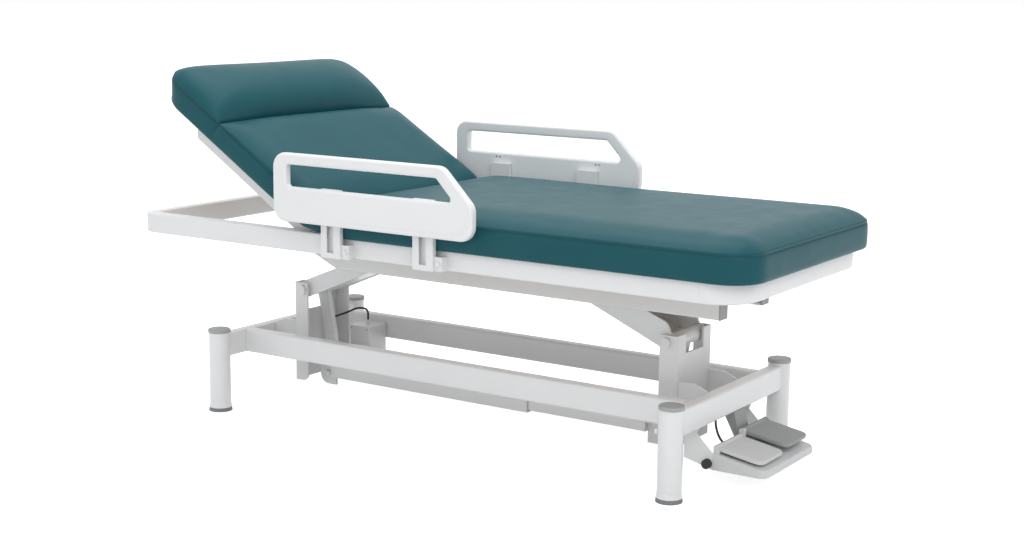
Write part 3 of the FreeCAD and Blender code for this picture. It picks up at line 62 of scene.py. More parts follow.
# All lengths are in metres. The camera stands where the photograph was taken.
CAMERA_PLACE = Vector((2.4866, -3.6675, 1.2260))
CAMERA_YAW = math.radians(33.331)
CAMERA_PITCH = math.radians(10.417)
CAMERA_ROLL = math.radians(0.672)
SENSOR_WIDTH = 36.0
LENS = 58.23

# Each lamp's name, place, width and energy.
LAMPS = [("key", (3.4, -2.6, 3.3), 2.6, 56), ("overhead", (-0.4, 0.3, 3.8), 3.6, 70),
         ("fill", (-3.2, -3.4, 2.2), 3.0, 14)]
LAMP_AIM = Vector((0.1, 0, 0.45))
WORLD_TINT = (0.95, 0.97, 1.0)
WORLD_LIGHT = 0.78
FLOOR_SIZE = 60
FLOOR_GLOW = 0.72

PAINT_WHITE = (0.76, 0.76, 0.755)
PAINT_ROUGHNESS = 0.36
GUARD_WHITE = (0.80, 0.80, 0.795)
SOLE_GREY = (0.20, 0.205, 0.21)
SOLE_HIGH = 0.011
SOLE_BLUR = 0.0002

EDGE_ROUND = 0.0007
EDGE_ANGLE = math.radians(38)
WELD_REACH = 0.00001

# Both cushions' covers: half their width, their grid, and how far a recess lies in from the outline.
COVER_HALF = 0.384
GRID_STEP = 0.0135
ROLL_STEPS = 8
BOARD_INSET = 0.0260
# The edge of a cover's top lies this far above its seam.
SEAM_RISE = 0.002
# Rings round a seam, each with its inset from the outline and its height from the seam.
SEAM_GROOVE = [(0.0046, -0.0018), (0.0008, -0.0046), (-0.0004, -0.011)]
STITCH_ROWS = (0.0062, 0.0, -0.0048)
STITCH_PITCH = 0.0062
STITCH_LONG = 0.0046
STITCH_THICK = 0.0008
STITCH_LIFT = 0.7
COVER_PRESSURE = 4.0
COVER_QUALITY = 4
COVER_FRAMES = 20
FOAM_SWELL = 0.0065
PILLOW_SWELL = 0.009
RELAX_TURNS = 10

SEAT_HEAD = -0.267
SEAT_FOOT = 0.952
SEAT_BOTTOM = 0.5496
SEAT_REST = 0.5564
SEAT_BOARD_TOP = 0.5686
SEAT_SEAM = 0.618
SEAT_TOP = 0.647
# The rings of the seat's side below the seam, each with its inset from the outline and its height: the flat
# side, the lip over the frame, the part that rests on it, and the recess of the board.
SEAT_SIDE = [(-0.0008, 0.585), (-0.0006, 0.565), (0.0004, 0.5555), (0.003, 0.5510), (0.0075, SEAT_BOTTOM),
             (0.0125, 0.5500), (0.0134, SEAT_REST), (BOARD_INSET, SEAT_REST), (BOARD_INSET, SEAT_BOARD_TOP)]
# The head end of the seat slopes away from the backrest, and has no lip where it crosses the frame.
SEAT_LEAN = 0.020
LEAN_START = 0.05
LEAN_LENGTH = 0.3
LIP_INSIDE = 0.3712
HEAD_LIP = 0.03
SEAT_CROWN = 0.0035
SEAT_CROWN_RISE = 0.02
SEAT_THREAD_GAP = 0.012

# The back cushion is drawn flat, with x towards the foot and z upward, and is then turned about its hinge.
HINGE = Vector((-0.323, 0, 0.530))
BACK_ANGLE = math.radians(32.4)
BACK_PLACE = Matrix.Translation(HINGE) @ Matrix.Rotation(BACK_ANGLE, 4, "Y")
BACK_HEAD = -0.634
BACK_FOOT = -0.020
BACK_BOTTOM = 0.0264
BACK_BOARD_TOP = 0.0386
BACK_SEAM = 0.086
BACK_TOP = 0.111
BACK_SIDE = [(-0.0008, 0.058), (-0.0004, 0.040), (0.0010, 0.031), (0.004, 0.0275), (0.009, BACK_BOTTOM),
             (BOARD_INSET, BACK_BOTTOM), (BOARD_INSET, BACK_BOARD_TOP)]
# How far the lower end of the back cushion reaches towards the seat, by its height.
BACK_END_REACH = [(BACK_BOTTOM, 0.0), (0.038, 0.030), (0.052, 0.046), (0.070, 0.040), (0.090, 0.022),
                  (0.105, 0.004), (0.125, -0.010)]
BACK_END_LENGTH = 0.16
# The recess is higher near the hinge, so that the cover can bend there without passing through its board.
RECESS_RISE = 0.022
RECESS_RISE_LENGTH = 0.12
RECESS_MARGIN = 0.02
BACK_CROWN = 0.004
BACK_CROWN_RISE = 0.015
PILLOW_PUFF = 0.032
PILLOW_REACH = 0.026
PILLOW_END_LENGTH = 0.12
PILLOW_END_LOW = 0.04
PILLOW_END_RISE = 0.04
# How deep the crease lies below the cushion's top, by the distance from its middle.
CREASE = -0.415
CREASE_DEPTH = [(0.0, 0.040), (0.0012, 0.032), (0.004, 0.0225), (0.008, 0.0155), (0.014, 0.0095),
                (0.022, 0.005), (0.032, 0.002), (0.046, 0.0)]
# The crease also pulls the cushion's sides in, by this share of its depth.
CREASE_PULL = 0.22
PULL_RISE = 0.05
PULL_BAND = 0.03
CREASE_SEWN = 0.0005
CREASE_FREE = 0.02
CREASE_KEPT = 0.006
CREASE_THREAD_GAP = 0.004
BACK_THREAD_GAP = 0.02
# Near the hinge the cover swells less, by up to this share, over this length.
STILL_END_LENGTH = 0.07
STILL_END_SHARE = 0.8

# The raised line on a guard runs along its lower edge and turns up at its foot end. Each point of the turn
# has its distance from that end and its rise.
LINE_RADIUS = 0.0009
LINE_UP = 0.016
LINE_START = 0.22
LINE_LEAD = 0.02
LINE_TURN = [(0.07, 0.0), (0.045, 0.001), (0.022, 0.008), (0.016, 0.030), (0.017, 0.048)]
GUARD_SCREW_UP = 0.080
GUARD_SCREW_GAP = 0.012
GUARD_SCREW_RADIUS = 0.0032
GUARD_SCREW_HIGH = 0.0006
BOX_SCREW_INSET = 0.008
BOX_SCREW_SPAN = 0.076
BOX_SCREW_RADIUS = 0.0028
BOX_SCREW_HIGH = 0.0017
SCREW_SINK = 0.0002
# A screw's head and its socket, in shares of its radius and of its height.
SCREW_OUTLINE = [(1, 0.25), (0.93, 0.6), (0.75, 0.9), (0.52, 1), (0.46, 1), (0.42, 0.35), (0.05, 0.3)]


def add_node(tree, kind, **settings):
    """A new node of this kind, with its settings."""
    node = tree.nodes.new(kind)
    for name, setting in settings.items():
        setattr(node, name, setting)
    return node


def noise_node(tree, place, scale, detail=3.0, roughness=0.5):
    """Smooth noise from 0 to 1 over place."""
    noise = add_node(tree, "ShaderNodeTexNoise")
    noise.inputs["Scale"].default_value = scale
    noise.inputs["Detail"].default_value = detail
    noise.inputs["Roughness"].default_value = roughness
    tree.links.new(place, noise.inputs["Vector"])
    return noise.outputs["Fac"]


def between(tree, source, low, high, from_low=0.3, from_high=0.7):
    """A number from low to high that follows source."""
    span = add_node(tree, "ShaderNodeMapRange")
    span.inputs["From Min"].default_value = from_low
    span.inputs["From Max"].default_value = from_high
    span.inputs["To Min"].default_value = low
    span.inputs["To Max"].default_value = high
    tree.links.new(source, span.inputs["Value"])
    return span.outputs["Result"]


def blend_colours(tree, source, first, second, from_low=0.3, from_high=0.7):
    """A colour from first to second that follows source."""
    ramp = add_node(tree, "ShaderNodeValToRGB")
    ramp.color_ramp.elements[0].position = from_low
    ramp.color_ramp.elements[0].color = (*first, 1)
    ramp.color_ramp.elements[1].position = from_high
    ramp.color_ramp.elements[1].color = (*second, 1)
    tree.links.new(source, ramp.inputs["Fac"])
    return ramp.outputs["Color"]


def add_bump(tree, height, distance, strength=1.0, under=None):
    """A surface normal tilted by height, on top of the normal under it."""
    bump = add_node(tree, "ShaderNodeBump")
    bump.inputs["Distance"].default_value = distance
    bump.inputs["Strength"].default_value = strength
    tree.links.new(height, bump.inputs["Height"])
    if under is not None:
        tree.links.new(under, bump.inputs["Normal"])
    return bump.outputs["Normal"]


def new_material(name, **constants):
    """A material, its tree, its shader and its object coordinates in metres."""
    material = bpy.data.materials.new(name)
    material.use_nodes = True
    tree = material.node_tree
    shader = tree.nodes["Principled BSDF"]
    for label, constant in constants.items():
        shader.inputs[label.replace("_", " ")].default_value = constant
    place = add_node(tree, "ShaderNodeTexCoord").outputs["Object"]
    return material, tree, shader, place


def shade(colour, share):
    """A darker colour, at this share of each channel."""
    return tuple(channel * share for channel in colour)


def moulded(name, colour, roughness, grain, depth, **constants):
    """Paint or plastic: a faint tone variation, an uneven gloss and a fine surface grain."""
    material, tree, shader, place = new_material(name, **constants)
    broad = noise_node(tree, place, scale=6.0)
    fine = noise_node(tree, place, scale=grain, detail=2.0)
    tone = blend_colours(tree, broad, shade(colour, share=0.975), colour)
    tree.links.new(tone, shader.inputs["Base Color"])
    smears = noise_node(tree, place, scale=38.0, detail=5.0)
    gloss = between(tree, smears, low=roughness - 0.02, high=roughness + 0.03)
    tree.links.new(gloss, shader.inputs["Roughness"])
    soft_waves = add_bump(tree, noise_node(tree, place, scale=45.0), distance=0.00001)
    surface = add_bump(tree, fine, distance=depth, under=soft_waves)
    tree.links.new(surface, shader.inputs["Normal"])
    return material


def leather():
    """Artificial leather: irregular pebble cells, fine pores and a soft waviness where foam lies under it."""
    material, tree, shader, place = new_material(
        "teal_leather", Specular_IOR_Level=0.11, Coat_Weight=0.01, Coat_Roughness=0.35)
    cells = add_node(tree, "ShaderNodeTexVoronoi", feature="SMOOTH_F1")
    cells.inputs["Scale"].default_value = 720.0
    cells.inputs["Smoothness"].default_value = 0.5
    tree.links.new(place, cells.inputs["Vector"])
    broad = noise_node(tree, place, scale=7.0, detail=4.0)
    tone = blend_colours(tree, broad, (0.0110, 0.078, 0.095), (0.0130, 0.084, 0.101))
    tree.links.new(tone, shader.inputs["Base Color"])
    polish = noise_node(tree, place, scale=19.0, detail=5.0, roughness=0.6)
    tree.links.new(between(tree, polish, low=0.36, high=0.42), shader.inputs["Roughness"])
    waves = add_bump(tree, noise_node(tree, place, scale=11.0, detail=1.0), distance=0.0009)
    pores = add_bump(tree, noise_node(tree, place, scale=2400.0, detail=1.0), distance=0.00003, under=waves)
    pebbles = add_bump(tree, cells.outputs["Distance"], distance=0.00009, strength=0.8, under=pores)
    tree.links.new(pebbles, shader.inputs["Normal"])
    return material


def turned_steel():
    """Bare steel with fine turning lines."""
    material, tree, shader, place = new_material("turned_steel", Metallic=1.0)
    stretch = add_node(tree, "ShaderNodeMapping")
    stretch.inputs["Scale"].default_value = (1.0, 14.0, 1.0)
    tree.links.new(place, stretch.inputs["Vector"])
    lines = noise_node(tree, stretch.outputs["Vector"], scale=260.0, detail=2.0)
    tone = blend_colours(tree, lines, (0.46, 0.46, 0.47), (0.60, 0.60, 0.61))
    tree.links.new(tone, shader.inputs["Base Color"])
    tree.links.new(between(tree, lines, low=0.24, high=0.38), shader.inputs["Roughness"])
    tree.links.new(add_bump(tree, lines, distance=0.00005), shader.inputs["Normal"])
    return material


def birch_plywood():
    """Plies show as bands across the board's edge, and a long grain runs over its faces."""
    material, tree, shader, place = new_material("birch_plywood")
    stretch = add_node(tree, "ShaderNodeMapping")
    stretch.inputs["Scale"].default_value = (3.0, 60.0, 420.0)
    tree.links.new(place, stretch.inputs["Vector"])
    streaks = noise_node(tree, stretch.outputs["Vector"], scale=1.6, detail=4.0)
    tone = blend_colours(tree, streaks, (0.36, 0.24, 0.13), (0.56, 0.41, 0.25))
    tree.links.new(tone, shader.inputs["Base Color"])
    tree.links.new(between(tree, streaks, low=0.55, high=0.7), shader.inputs["Roughness"])
    tree.links.new(add_bump(tree, streaks, distance=0.0003), shader.inputs["Normal"])
    return material


def rubber():
    """Black rubber with a little dust on it."""
    material, tree, shader, place = new_material("black_rubber", Specular_IOR_Level=0.35)
    dust = noise_node(tree, place, scale=55.0, detail=5.0, roughness=0.65)
    tone = blend_colours(tree, dust, (0.022, 0.022, 0.022), (0.05, 0.049, 0.047))
    tree.links.new(tone, shader.inputs["Base Color"])
    tree.links.new(between(tree, dust, low=0.6, high=0.8), shader.inputs["Roughness"])
    grain = add_bump(tree, noise_node(tree, place, scale=900.0), distance=0.0001)
    tree.links.new(grain, shader.inputs["Normal"])
    return material


MATERIALS = {
    "frame_paint": moulded("white_powder_coat", PAINT_WHITE, PAINT_ROUGHNESS, grain=700.0, depth=0.00004,
                           Coat_Weight=0.15),
    "grey_plastic": moulded("grey_end_plastic", (0.36, 0.365, 0.365), 0.52, grain=1300.0, depth=0.00008),
    "black_plastic": moulded("black_housing_plastic", (0.045, 0.045, 0.047), 0.5, grain=1100.0,
                             depth=0.00016),
    "bearing_plastic": moulded("nylon", (0.68, 0.68, 0.66), 0.45, grain=900.0, depth=0.00004),
    "guard_plastic": moulded("white_guard_moulding", GUARD_WHITE, 0.32, grain=1500.0, depth=0.000012,
                             Coat_Weight=0.1),
    "pedal_light": moulded("light_pedal_moulding", (0.62, 0.625, 0.62), 0.46, grain=1100.0, depth=0.00012),
    "pedal_dark": moulded("dark_pedal_moulding", (0.29, 0.30, 0.295), 0.5, grain=1100.0, depth=0.00012),
    "black_rubber": rubber(),
    "steel": turned_steel(),
    "plywood": birch_plywood(),
    "upholstery": leather(),
}


def two_tone_foot():
    """A white sleeve with a grey rubber sole."""
    material, tree, shader, place = new_material("white_foot_with_grey_sole")
    parts = add_node(tree, "ShaderNodeSeparateXYZ")
    tree.links.new(place, parts.inputs[0])
    sleeve = between(tree, parts.outputs["Z"], low=0.0, high=1.0,
                     from_low=SOLE_HIGH - SOLE_BLUR, from_high=SOLE_HIGH + SOLE_BLUR)
    tone = blend_colours(tree, sleeve, SOLE_GREY, PAINT_WHITE, from_low=0.4, from_high=0.6)
    tree.links.new(tone, shader.inputs["Base Color"])
    gloss = between(tree, sleeve, low=0.7, high=PAINT_ROUGHNESS, from_low=0.0, from_high=1.0)
    tree.links.new(gloss, shader.inputs["Roughness"])
    grain = add_bump(tree, noise_node(tree, place, scale=900.0), distance=0.00008)
    tree.links.new(grain, shader.inputs["Normal"])
    return material


THREAD = moulded("seam_thread", (0.008, 0.045, 0.052), 0.6, grain=2500.0, depth=0.00008)

# Nodes that the photograph shows in another finish than their material slot names.
FINISH_OF = {"leg_feet": two_tone_foot(), "control_box": MATERIALS["guard_plastic"],
             "pivot_shafts": MATERIALS["frame_paint"], "pivot_bushes": MATERIALS["frame_paint"]}


def finish_node(name, node):
    """Gives a node of the frame its material and a narrow rounded edge."""
    node.data.materials.clear()
    node.data.materials.append(FINISH_OF.get(name) or MATERIALS[SLOT_OF[name]])
    if "custom_normal" in node.data.attributes:
        node.data.attributes.remove(node.data.attributes["custom_normal"])
    node.data.polygons.foreach_set("use_smooth", [True] * len(node.data.polygons))
    weld = node.modifiers.new("joined_edges", "WELD")
    weld.merge_threshold = WELD_REACH
    bevel = node.modifiers.new("rounded_edges", "BEVEL")
    bevel.width = EDGE_ROUND
    bevel.segments = 2
    bevel.limit_method = "ANGLE"
    bevel.angle_limit = EDGE_ANGLE
    bevel.harden_normals = True
    bevel.use_clamp_overlap = True


def link(name, mesh, material, smooth=True):
    """Puts a mesh in the scene as an object with its material."""
    piece = bpy.data.objects.new(name, mesh)
    bpy.context.scene.collection.objects.link(piece)
    mesh.materials.append(material)
    if smooth:
        mesh.polygons.foreach_set("use_smooth", [True] * len(mesh.polygons))
    return piece


def roll_levels(roll, height):
    """Distances in from the edge and heights, from the seam over the roll to the top."""
    levels = []
    for step in range(ROLL_STEPS + 1):
        turn = math.pi / 2 * step / ROLL_STEPS
        levels.append((roll * (1 - math.cos(turn)), height * math.sin(turn)))
    return levels


def grid_lines(low, high, low_roll, high_roll, marks=()):
    """Places of grid lines: close together over the rolls, one at each mark, and even between them."""
    lines = [low + inset for inset, _ in roll_levels(low_roll, 0)]
    end = [high - inset for inset, _ in reversed(roll_levels(high_roll, 0))]
    for target in sorted(marks) + [end[0]]:
        gap = target - lines[-1]
        count = max(1, round(gap / GRID_STEP))
        lines += [lines[-1] + gap * k / count for k in range(1, count + 1)]
    return lines + end[1:]


def round_corner(x, y, low, high, half, low_radius, high_radius):
    """Moves a point of the square corners onto rounded ones; also gives its way outward there."""
    for edge, sense, radius in ((low, -1, low_radius), (high, 1, high_radius)):
        centre_x = edge - sense * radius
        centre_y = math.copysign(half - radius, y)
        across = abs(y) - (half - radius)
        along = sense * (x - centre_x)
        if across > 0 and along > 0:
            square = max(across, along)
            length = math.hypot(across, along)
            way = Vector((sense * along / length, math.copysign(across / length, y)))
            return centre_x + way.x * square, centre_y + way.y * square, way
    sides = ((x - low, (-1, 0)), (high - x, (1, 0)), (half - abs(y), (0, math.copysign(1, y))))
    return x, y, Vector(min(sides)[1])


class Cushion:
    """A cover that starts as a grid over its outline: rolled edges, side walls with a seam, and a recess.

    corner_radii are those at the low and high end along x, and roll_widths those there and at the sides.
    walls lists the rings below the seam, each with its inset from the outline and its height.
    """

    def __init__(self, low, high, corner_radii, roll_widths, seam, top, walls, marks=()):
        low_roll, high_roll, side_roll = roll_widths
        xs = grid_lines(low, high, low_roll, high_roll, marks)
        ys = grid_lines(-COVER_HALF, COVER_HALF, side_roll, side_roll)
        last_i = len(xs) - 1
        last_j = len(ys) - 1
        levels = roll_levels(1, top - seam)
        self.mesh = bmesh.new()
        self.free = []
        grid = {}
        ways = {}
        for i, x in enumerate(xs):
            for j, y in enumerate(ys):
                level = min(i, j, last_i - i, last_j - j, len(levels) - 1)
                px, py, ways[i, j] = round_corner(x, y, low, high, COVER_HALF, *corner_radii)
                grid[i, j] = self.mesh.verts.new((px, py, seam + levels[level][1]))
                if level:
                    self.free.append(grid[i, j])
        for i in range(last_i):
            for j in range(last_j):
                self.mesh.faces.new((grid[i, j], grid[i + 1, j], grid[i + 1, j + 1], grid[i, j + 1]))
        border = ([(i, 0) for i in range(last_i)] + [(last_i, j) for j in range(last_j)]
                  + [(i, last_j) for i in range(last_i, 0, -1)] + [(0, j) for j in range(last_j, 0, -1)])
        ring = [grid[key] for key in border]
        self.rings = [ring]
        for inset, height in walls:
            below = []
            for key, vertex in zip(border, self.rings[0]):
                px = vertex.co.x - ways[key].x * inset
                py = vertex.co.y - ways[key].y * inset
                below.append(self.mesh.verts.new((px, py, height)))
            for k in range(len(ring)):
                after = (k + 1) % len(ring)
                self.mesh.faces.new((ring[k], below[k], below[after], ring[after]))
            ring = below
            self.rings.append(ring)

    def shift(self, change):
        """Moves each point by the vector that change gives for its place."""
        for vertex in self.mesh.verts:
            vertex.co += change(vertex.co)

    def finish(self, name):
        """Makes the cover an object, and keeps the indices of its free points and the path of its seam."""
        self.mesh.verts.index_update()
        self.free_indices = [vertex.index for vertex in self.free]
        self.seam_path = [vertex.co.copy() for vertex in self.rings[1]]
        data = bpy.data.meshes.new(name)
        self.mesh.to_mesh(data)
        self.mesh.free()
        return link(name, data, MATERIALS["upholstery"])


def swell(piece, free_indices, reach):
    """Lets the free part of a cover swell over its foam, and keeps each point within its reach."""
    scene = bpy.context.scene
    rest = [vertex.co.copy() for vertex in piece.data.vertices]
    free = set(free_indices)
    held = piece.vertex_groups.new(name="held")
    held.add([index for index in range(len(rest)) if index not in free], 1.0, "REPLACE")
    cloth = piece.modifiers.new("cover", "CLOTH")
    cloth.settings.quality = COVER_QUALITY
    cloth.settings.vertex_group_mass = "held"
    cloth.settings.use_pressure = True
    cloth.settings.uniform_pressure_force = COVER_PRESSURE
    cloth.settings.effector_weights.gravity = 0
    cloth.collision_settings.use_collision = False
    for step in range(1, COVER_FRAMES + 1):
        scene.frame_set(step)
    shown = piece.evaluated_get(bpy.context.evaluated_depsgraph_get())
    swollen = [vertex.co.copy() for vertex in shown.data.vertices]
    piece.modifiers.remove(cloth)
    piece.vertex_groups.clear()
    scene.frame_set(1)
    for index in free:
        move = swollen[index] - rest[index]
        limit = reach(rest[index])
        if move.length > limit:
            move *= limit / move.length
        piece.data.vertices[index].co = rest[index] + move


def relax(piece, indices):
    """Evens out the free part of a cover, so that no grid line shows in it."""
    mesh = bmesh.new()
    mesh.from_mesh(piece.data)
    mesh.verts.ensure_lookup_table()
    chosen = [mesh.verts[index] for index in indices]
    for _ in range(RELAX_TURNS):
        bmesh.ops.smooth_vert(mesh, verts=chosen, factor=0.5,
                              use_axis_x=True, use_axis_y=True, use_axis_z=True)
    mesh.to_mesh(piece.data)
    mesh.free()


def smooth_and_close(piece):
    """Subdivides the cover once and closes it over the recess of its board."""
    subdivision = piece.modifiers.new("smooth", "SUBSURF")
    subdivision.levels = subdivision.render_levels = 1
    shown = piece.evaluated_get(bpy.context.evaluated_depsgraph_get())
    finer = bpy.data.meshes.new_from_object(shown)
    piece.modifiers.remove(subdivision)
    piece.data = finer
    mesh = bmesh.new()
    mesh.from_mesh(finer)
    bmesh.ops.holes_fill(mesh, edges=[edge for edge in mesh.edges if edge.is_boundary], sides=0)
    bmesh.ops.recalc_face_normals(mesh, faces=mesh.faces)
    mesh.to_mesh(finer)
    mesh.free()
    finer.polygons.foreach_set("use_smooth", [True] * len(finer.polygons))


def stitches(name, cover, path, keep, place):
    """Short raised threads in rows beside a seam, laid on the cover's final surface."""
    surface = BVHTree.FromPolygons([vertex.co for vertex in cover.data.vertices],
                                   [face.vertices for face in cover.data.polygons])
    mesh = bmesh.new()
    closed = path + path[:1]
    spare = 0.0
    for start, end in zip(closed, closed[1:]):
        run = (end - start).length
        if run < WELD_REACH:
            continue
        along = (end - start) / run
        at = spare
        while at < run:
            middle = start + along * at
            at += STITCH_PITCH
            if not keep(middle):
                continue
            for row in STITCH_ROWS:
                point, normal, _, _ = surface.find_nearest(middle + Vector((0, 0, row)))
                across = normal.cross(along).normalized()
                lift = normal * STITCH_THICK * STITCH_LIFT
                ends = [point + along * STITCH_LONG / 2, point - along * STITCH_LONG / 2]
                tips = [mesh.verts.new(tip - lift * 0.5) for tip in ends]
                waist = [mesh.verts.new(point + offset) for offset in
                         (lift + across * STITCH_THICK, lift * 2, lift - across * STITCH_THICK, lift * -0.5)]
                for k in range(4):
                    mesh.faces.new((tips[0], waist[k], waist[(k + 1) % 4]))
                    mesh.faces.new((tips[1], waist[(k + 1) % 4], waist[k]))
        spare = at - run
    data = bpy.data.meshes.new(name)
    mesh.to_mesh(data)
    mesh.free()
    data.transform(place)
    return link(name, data, THREAD)


def interpolate(table, at):
    """The value at a place in a table of (place, value) rows, which keeps its last value beyond its end."""
    for (a, first), (b, second) in zip(table, table[1:]):
        if at <= b:
            share = max(0, (at - a) / (b - a))
            return first + (second - first) * share
    return table[-1][1]


def ease(share):
    """Goes smoothly from 0 to 1, and stays there."""
    share = min(1, max(0, share))
    return share * share * (3 - 2 * share)


def walls_below(seam, side):
    """The rings below a seam: its groove, and then the side."""
    return [(inset, seam + height) for inset, height in SEAM_GROOVE] + side


def seat_cushion():
    """The long cushion: its lip hangs past the frame, and its head end slopes away from the backrest."""
    cushion = Cushion(SEAT_HEAD, SEAT_FOOT, corner_radii=(0.030, 0.092), roll_widths=(0.018, 0.040, 0.042),
                      seam=SEAT_SEAM + SEAM_RISE, top=SEAT_TOP, walls=walls_below(SEAT_SEAM, SEAT_SIDE))

    def lean_and_crown(point):
        up = (point.z - SEAT_REST) / (SEAT_TOP - SEAT_REST)
        head = ease((LEAN_START - point.x) / LEAN_LENGTH)
        move = Vector((SEAT_LEAN * up * head, 0, 0))
        if point.x < SEAT_HEAD + HEAD_LIP and abs(point.y) < LIP_INSIDE and point.z < SEAT_REST:
            move.z = SEAT_REST - point.z
        if point.z > SEAT_SEAM + SEAT_CROWN_RISE:
            along = (point.x - SEAT_HEAD) / (SEAT_FOOT - SEAT_HEAD) * 2 - 1
            across = point.y / COVER_HALF
            move.z += SEAT_CROWN * (1 - along ** 4) * (1 - across ** 4)
        return move

    cushion.shift(lean_and_crown)
    piece = cushion.finish("seat_cover")
    swell(piece, cushion.free_indices, lambda point: FOAM_SWELL)
    relax(piece, cushion.free_indices)
    smooth_and_close(piece)
    threads = stitches("seat_stitches", piece, cushion.seam_path,
                       lambda point: point.x > SEAT_HEAD + SEAT_THREAD_GAP, Matrix())
    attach(piece, "top")
    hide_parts("seat_cushion")
    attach(threads, "top")


def back_cushion():
    """The backrest's cushion: a pillow at the head, a deep crease, and a lower end that meets the seat."""
    steps = [distance for distance, _ in CREASE_DEPTH[1:]]
    marks = [CREASE] + [CREASE + sense * step for step in steps for sense in (-1, 1)]
    cushion = Cushion(BACK_HEAD, BACK_FOOT, corner_radii=(0.082, 0.030), roll_widths=(0.044, 0.020, 0.040),
                      seam=BACK_SEAM + SEAM_RISE, top=BACK_TOP, walls=walls_below(BACK_SEAM, BACK_SIDE),
                      marks=marks)

    def crease_and_reach(point):
        depth = interpolate(CREASE_DEPTH, abs(point.x - CREASE))
        up = max(0.0, (point.z - BACK_SEAM) / (BACK_TOP - BACK_SEAM))
        inward = CREASE_PULL * depth * ease((point.z - BACK_BOTTOM) / PULL_RISE)
        edge = ease((abs(point.y) - COVER_HALF + PULL_BAND) / PULL_BAND)
        move = Vector((0, -math.copysign(inward * edge, point.y), -depth * min(1.0, up)))

        from_end = point.x - BACK_FOOT + BACK_END_LENGTH
        inside = point.x < BACK_FOOT - RECESS_MARGIN and abs(point.y) < COVER_HALF - RECESS_MARGIN
        if not (inside and point.z < BACK_SEAM):
            move.x = interpolate(BACK_END_REACH, point.z) * ease(from_end / BACK_END_LENGTH)
        elif point.z > (BACK_BOTTOM + BACK_BOARD_TOP) / 2:
            move.z += RECESS_RISE * ease(from_end / RECESS_RISE_LENGTH)

        head_side = ease((BACK_HEAD + PILLOW_END_LENGTH - point.x) / PILLOW_END_LENGTH)
        move.x -= PILLOW_REACH * head_side * ease((point.z - PILLOW_END_LOW) / PILLOW_END_RISE)
        if point.z > BACK_SEAM + BACK_CROWN_RISE:
            across = point.y / COVER_HALF
            if point.x < CREASE:
                along = (point.x - BACK_HEAD) / (CREASE - BACK_HEAD) * 2 - 1
                move.z += PILLOW_PUFF * max(0.0, 1 - along ** 2) * (1 - across ** 6)
            else:
                along = (point.x - CREASE) / (BACK_FOOT - CREASE) * 2 - 1
                move.z += BACK_CROWN * max(0.0, 1 - along ** 4) * (1 - across ** 4)
        return move

    cushion.shift(crease_and_reach)
    piece = cushion.finish("back_cover")

    def reach(point):
        most = PILLOW_SWELL if point.x < CREASE else FOAM_SWELL
        still = ease((point.x - BACK_FOOT + STILL_END_LENGTH) / STILL_END_LENGTH)
        from_crease = abs(point.x - CREASE) - CREASE_SEWN
        return most * ease(from_crease / CREASE_FREE) * (1 - STILL_END_SHARE * still)

    swell(piece, cushion.free_indices, reach)
    away = [index for index in cushion.free_indices
            if abs(piece.data.vertices[index].co.x - CREASE) > CREASE_KEPT]
    relax(piece, away)
    smooth_and_close(piece)

    def sewn(point):
        return point.x < BACK_FOOT - BACK_THREAD_GAP and abs(point.x - CREASE) > CREASE_THREAD_GAP

    threads = stitches("back_stitches", piece, cushion.seam_path, sewn, BACK_PLACE)
    piece.data.transform(BACK_PLACE)
    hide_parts("back_cushion")
    for soft in (piece, threads):
        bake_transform(soft)


def lathe(name, outline, material, place, body, turns=24):
    """A turned piece from (radius, height) points, set at place with its axis along +Z there."""
    mesh = bmesh.new()
    rings = []
    for radius, height in outline:
        angles = [2 * math.pi * k / turns for k in range(turns)]
        rings.append([mesh.verts.new((radius * math.cos(angle), radius * math.sin(angle), height))
                      for angle in angles])
    for low, high in zip(rings, rings[1:]):
        for k in range(turns):
            mesh.faces.new((low[k], low[(k + 1) % turns], high[(k + 1) % turns], high[k]))
    mesh.faces.new(list(reversed(rings[0])))
    mesh.faces.new(rings[-1])
    data = bpy.data.meshes.new(name)
    mesh.to_mesh(data)
    mesh.free()
    data.transform(place)
    piece = link(name, data, material, smooth=False)
    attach(piece, body)


def facing(place, way):
    """The turn and place that set +Z along way at a point."""
    turn = Vector((0, 0, 1)).rotation_difference(Vector(way))
    return Matrix.Translation(place) @ turn.to_matrix().to_4x4()


def button_screw(name, place, way, body, radius, high):
    """A domed screw head with a sunk round socket."""
    outline = [(radius, -SCREW_SINK)] + [(radius * out, high * up) for out, up in SCREW_OUTLINE]
    lathe(name, outline, MATERIALS["steel"], facing(place, way), body)


def raised_line(name, points, body):
    """A fine raised bead along smooth points of a guard."""
    curve = bpy.data.curves.new(name, "CURVE")
    curve.dimensions = "3D"
    curve.bevel_depth = LINE_RADIUS
    curve.bevel_resolution = 2
    spline = curve.splines.new("NURBS")
    spline.points.add(len(points) - 1)
    for spline_point, place in zip(spline.points, points):
        spline_point.co = (*place, 1)
    spline.order_u = 3
    spline.use_endpoint_u = True
    piece = bpy.data.objects.new(name, curve)
    bpy.context.scene.collection.objects.link(piece)
    curve.materials.append(MATERIALS["guard_plastic"])
    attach(piece, body)


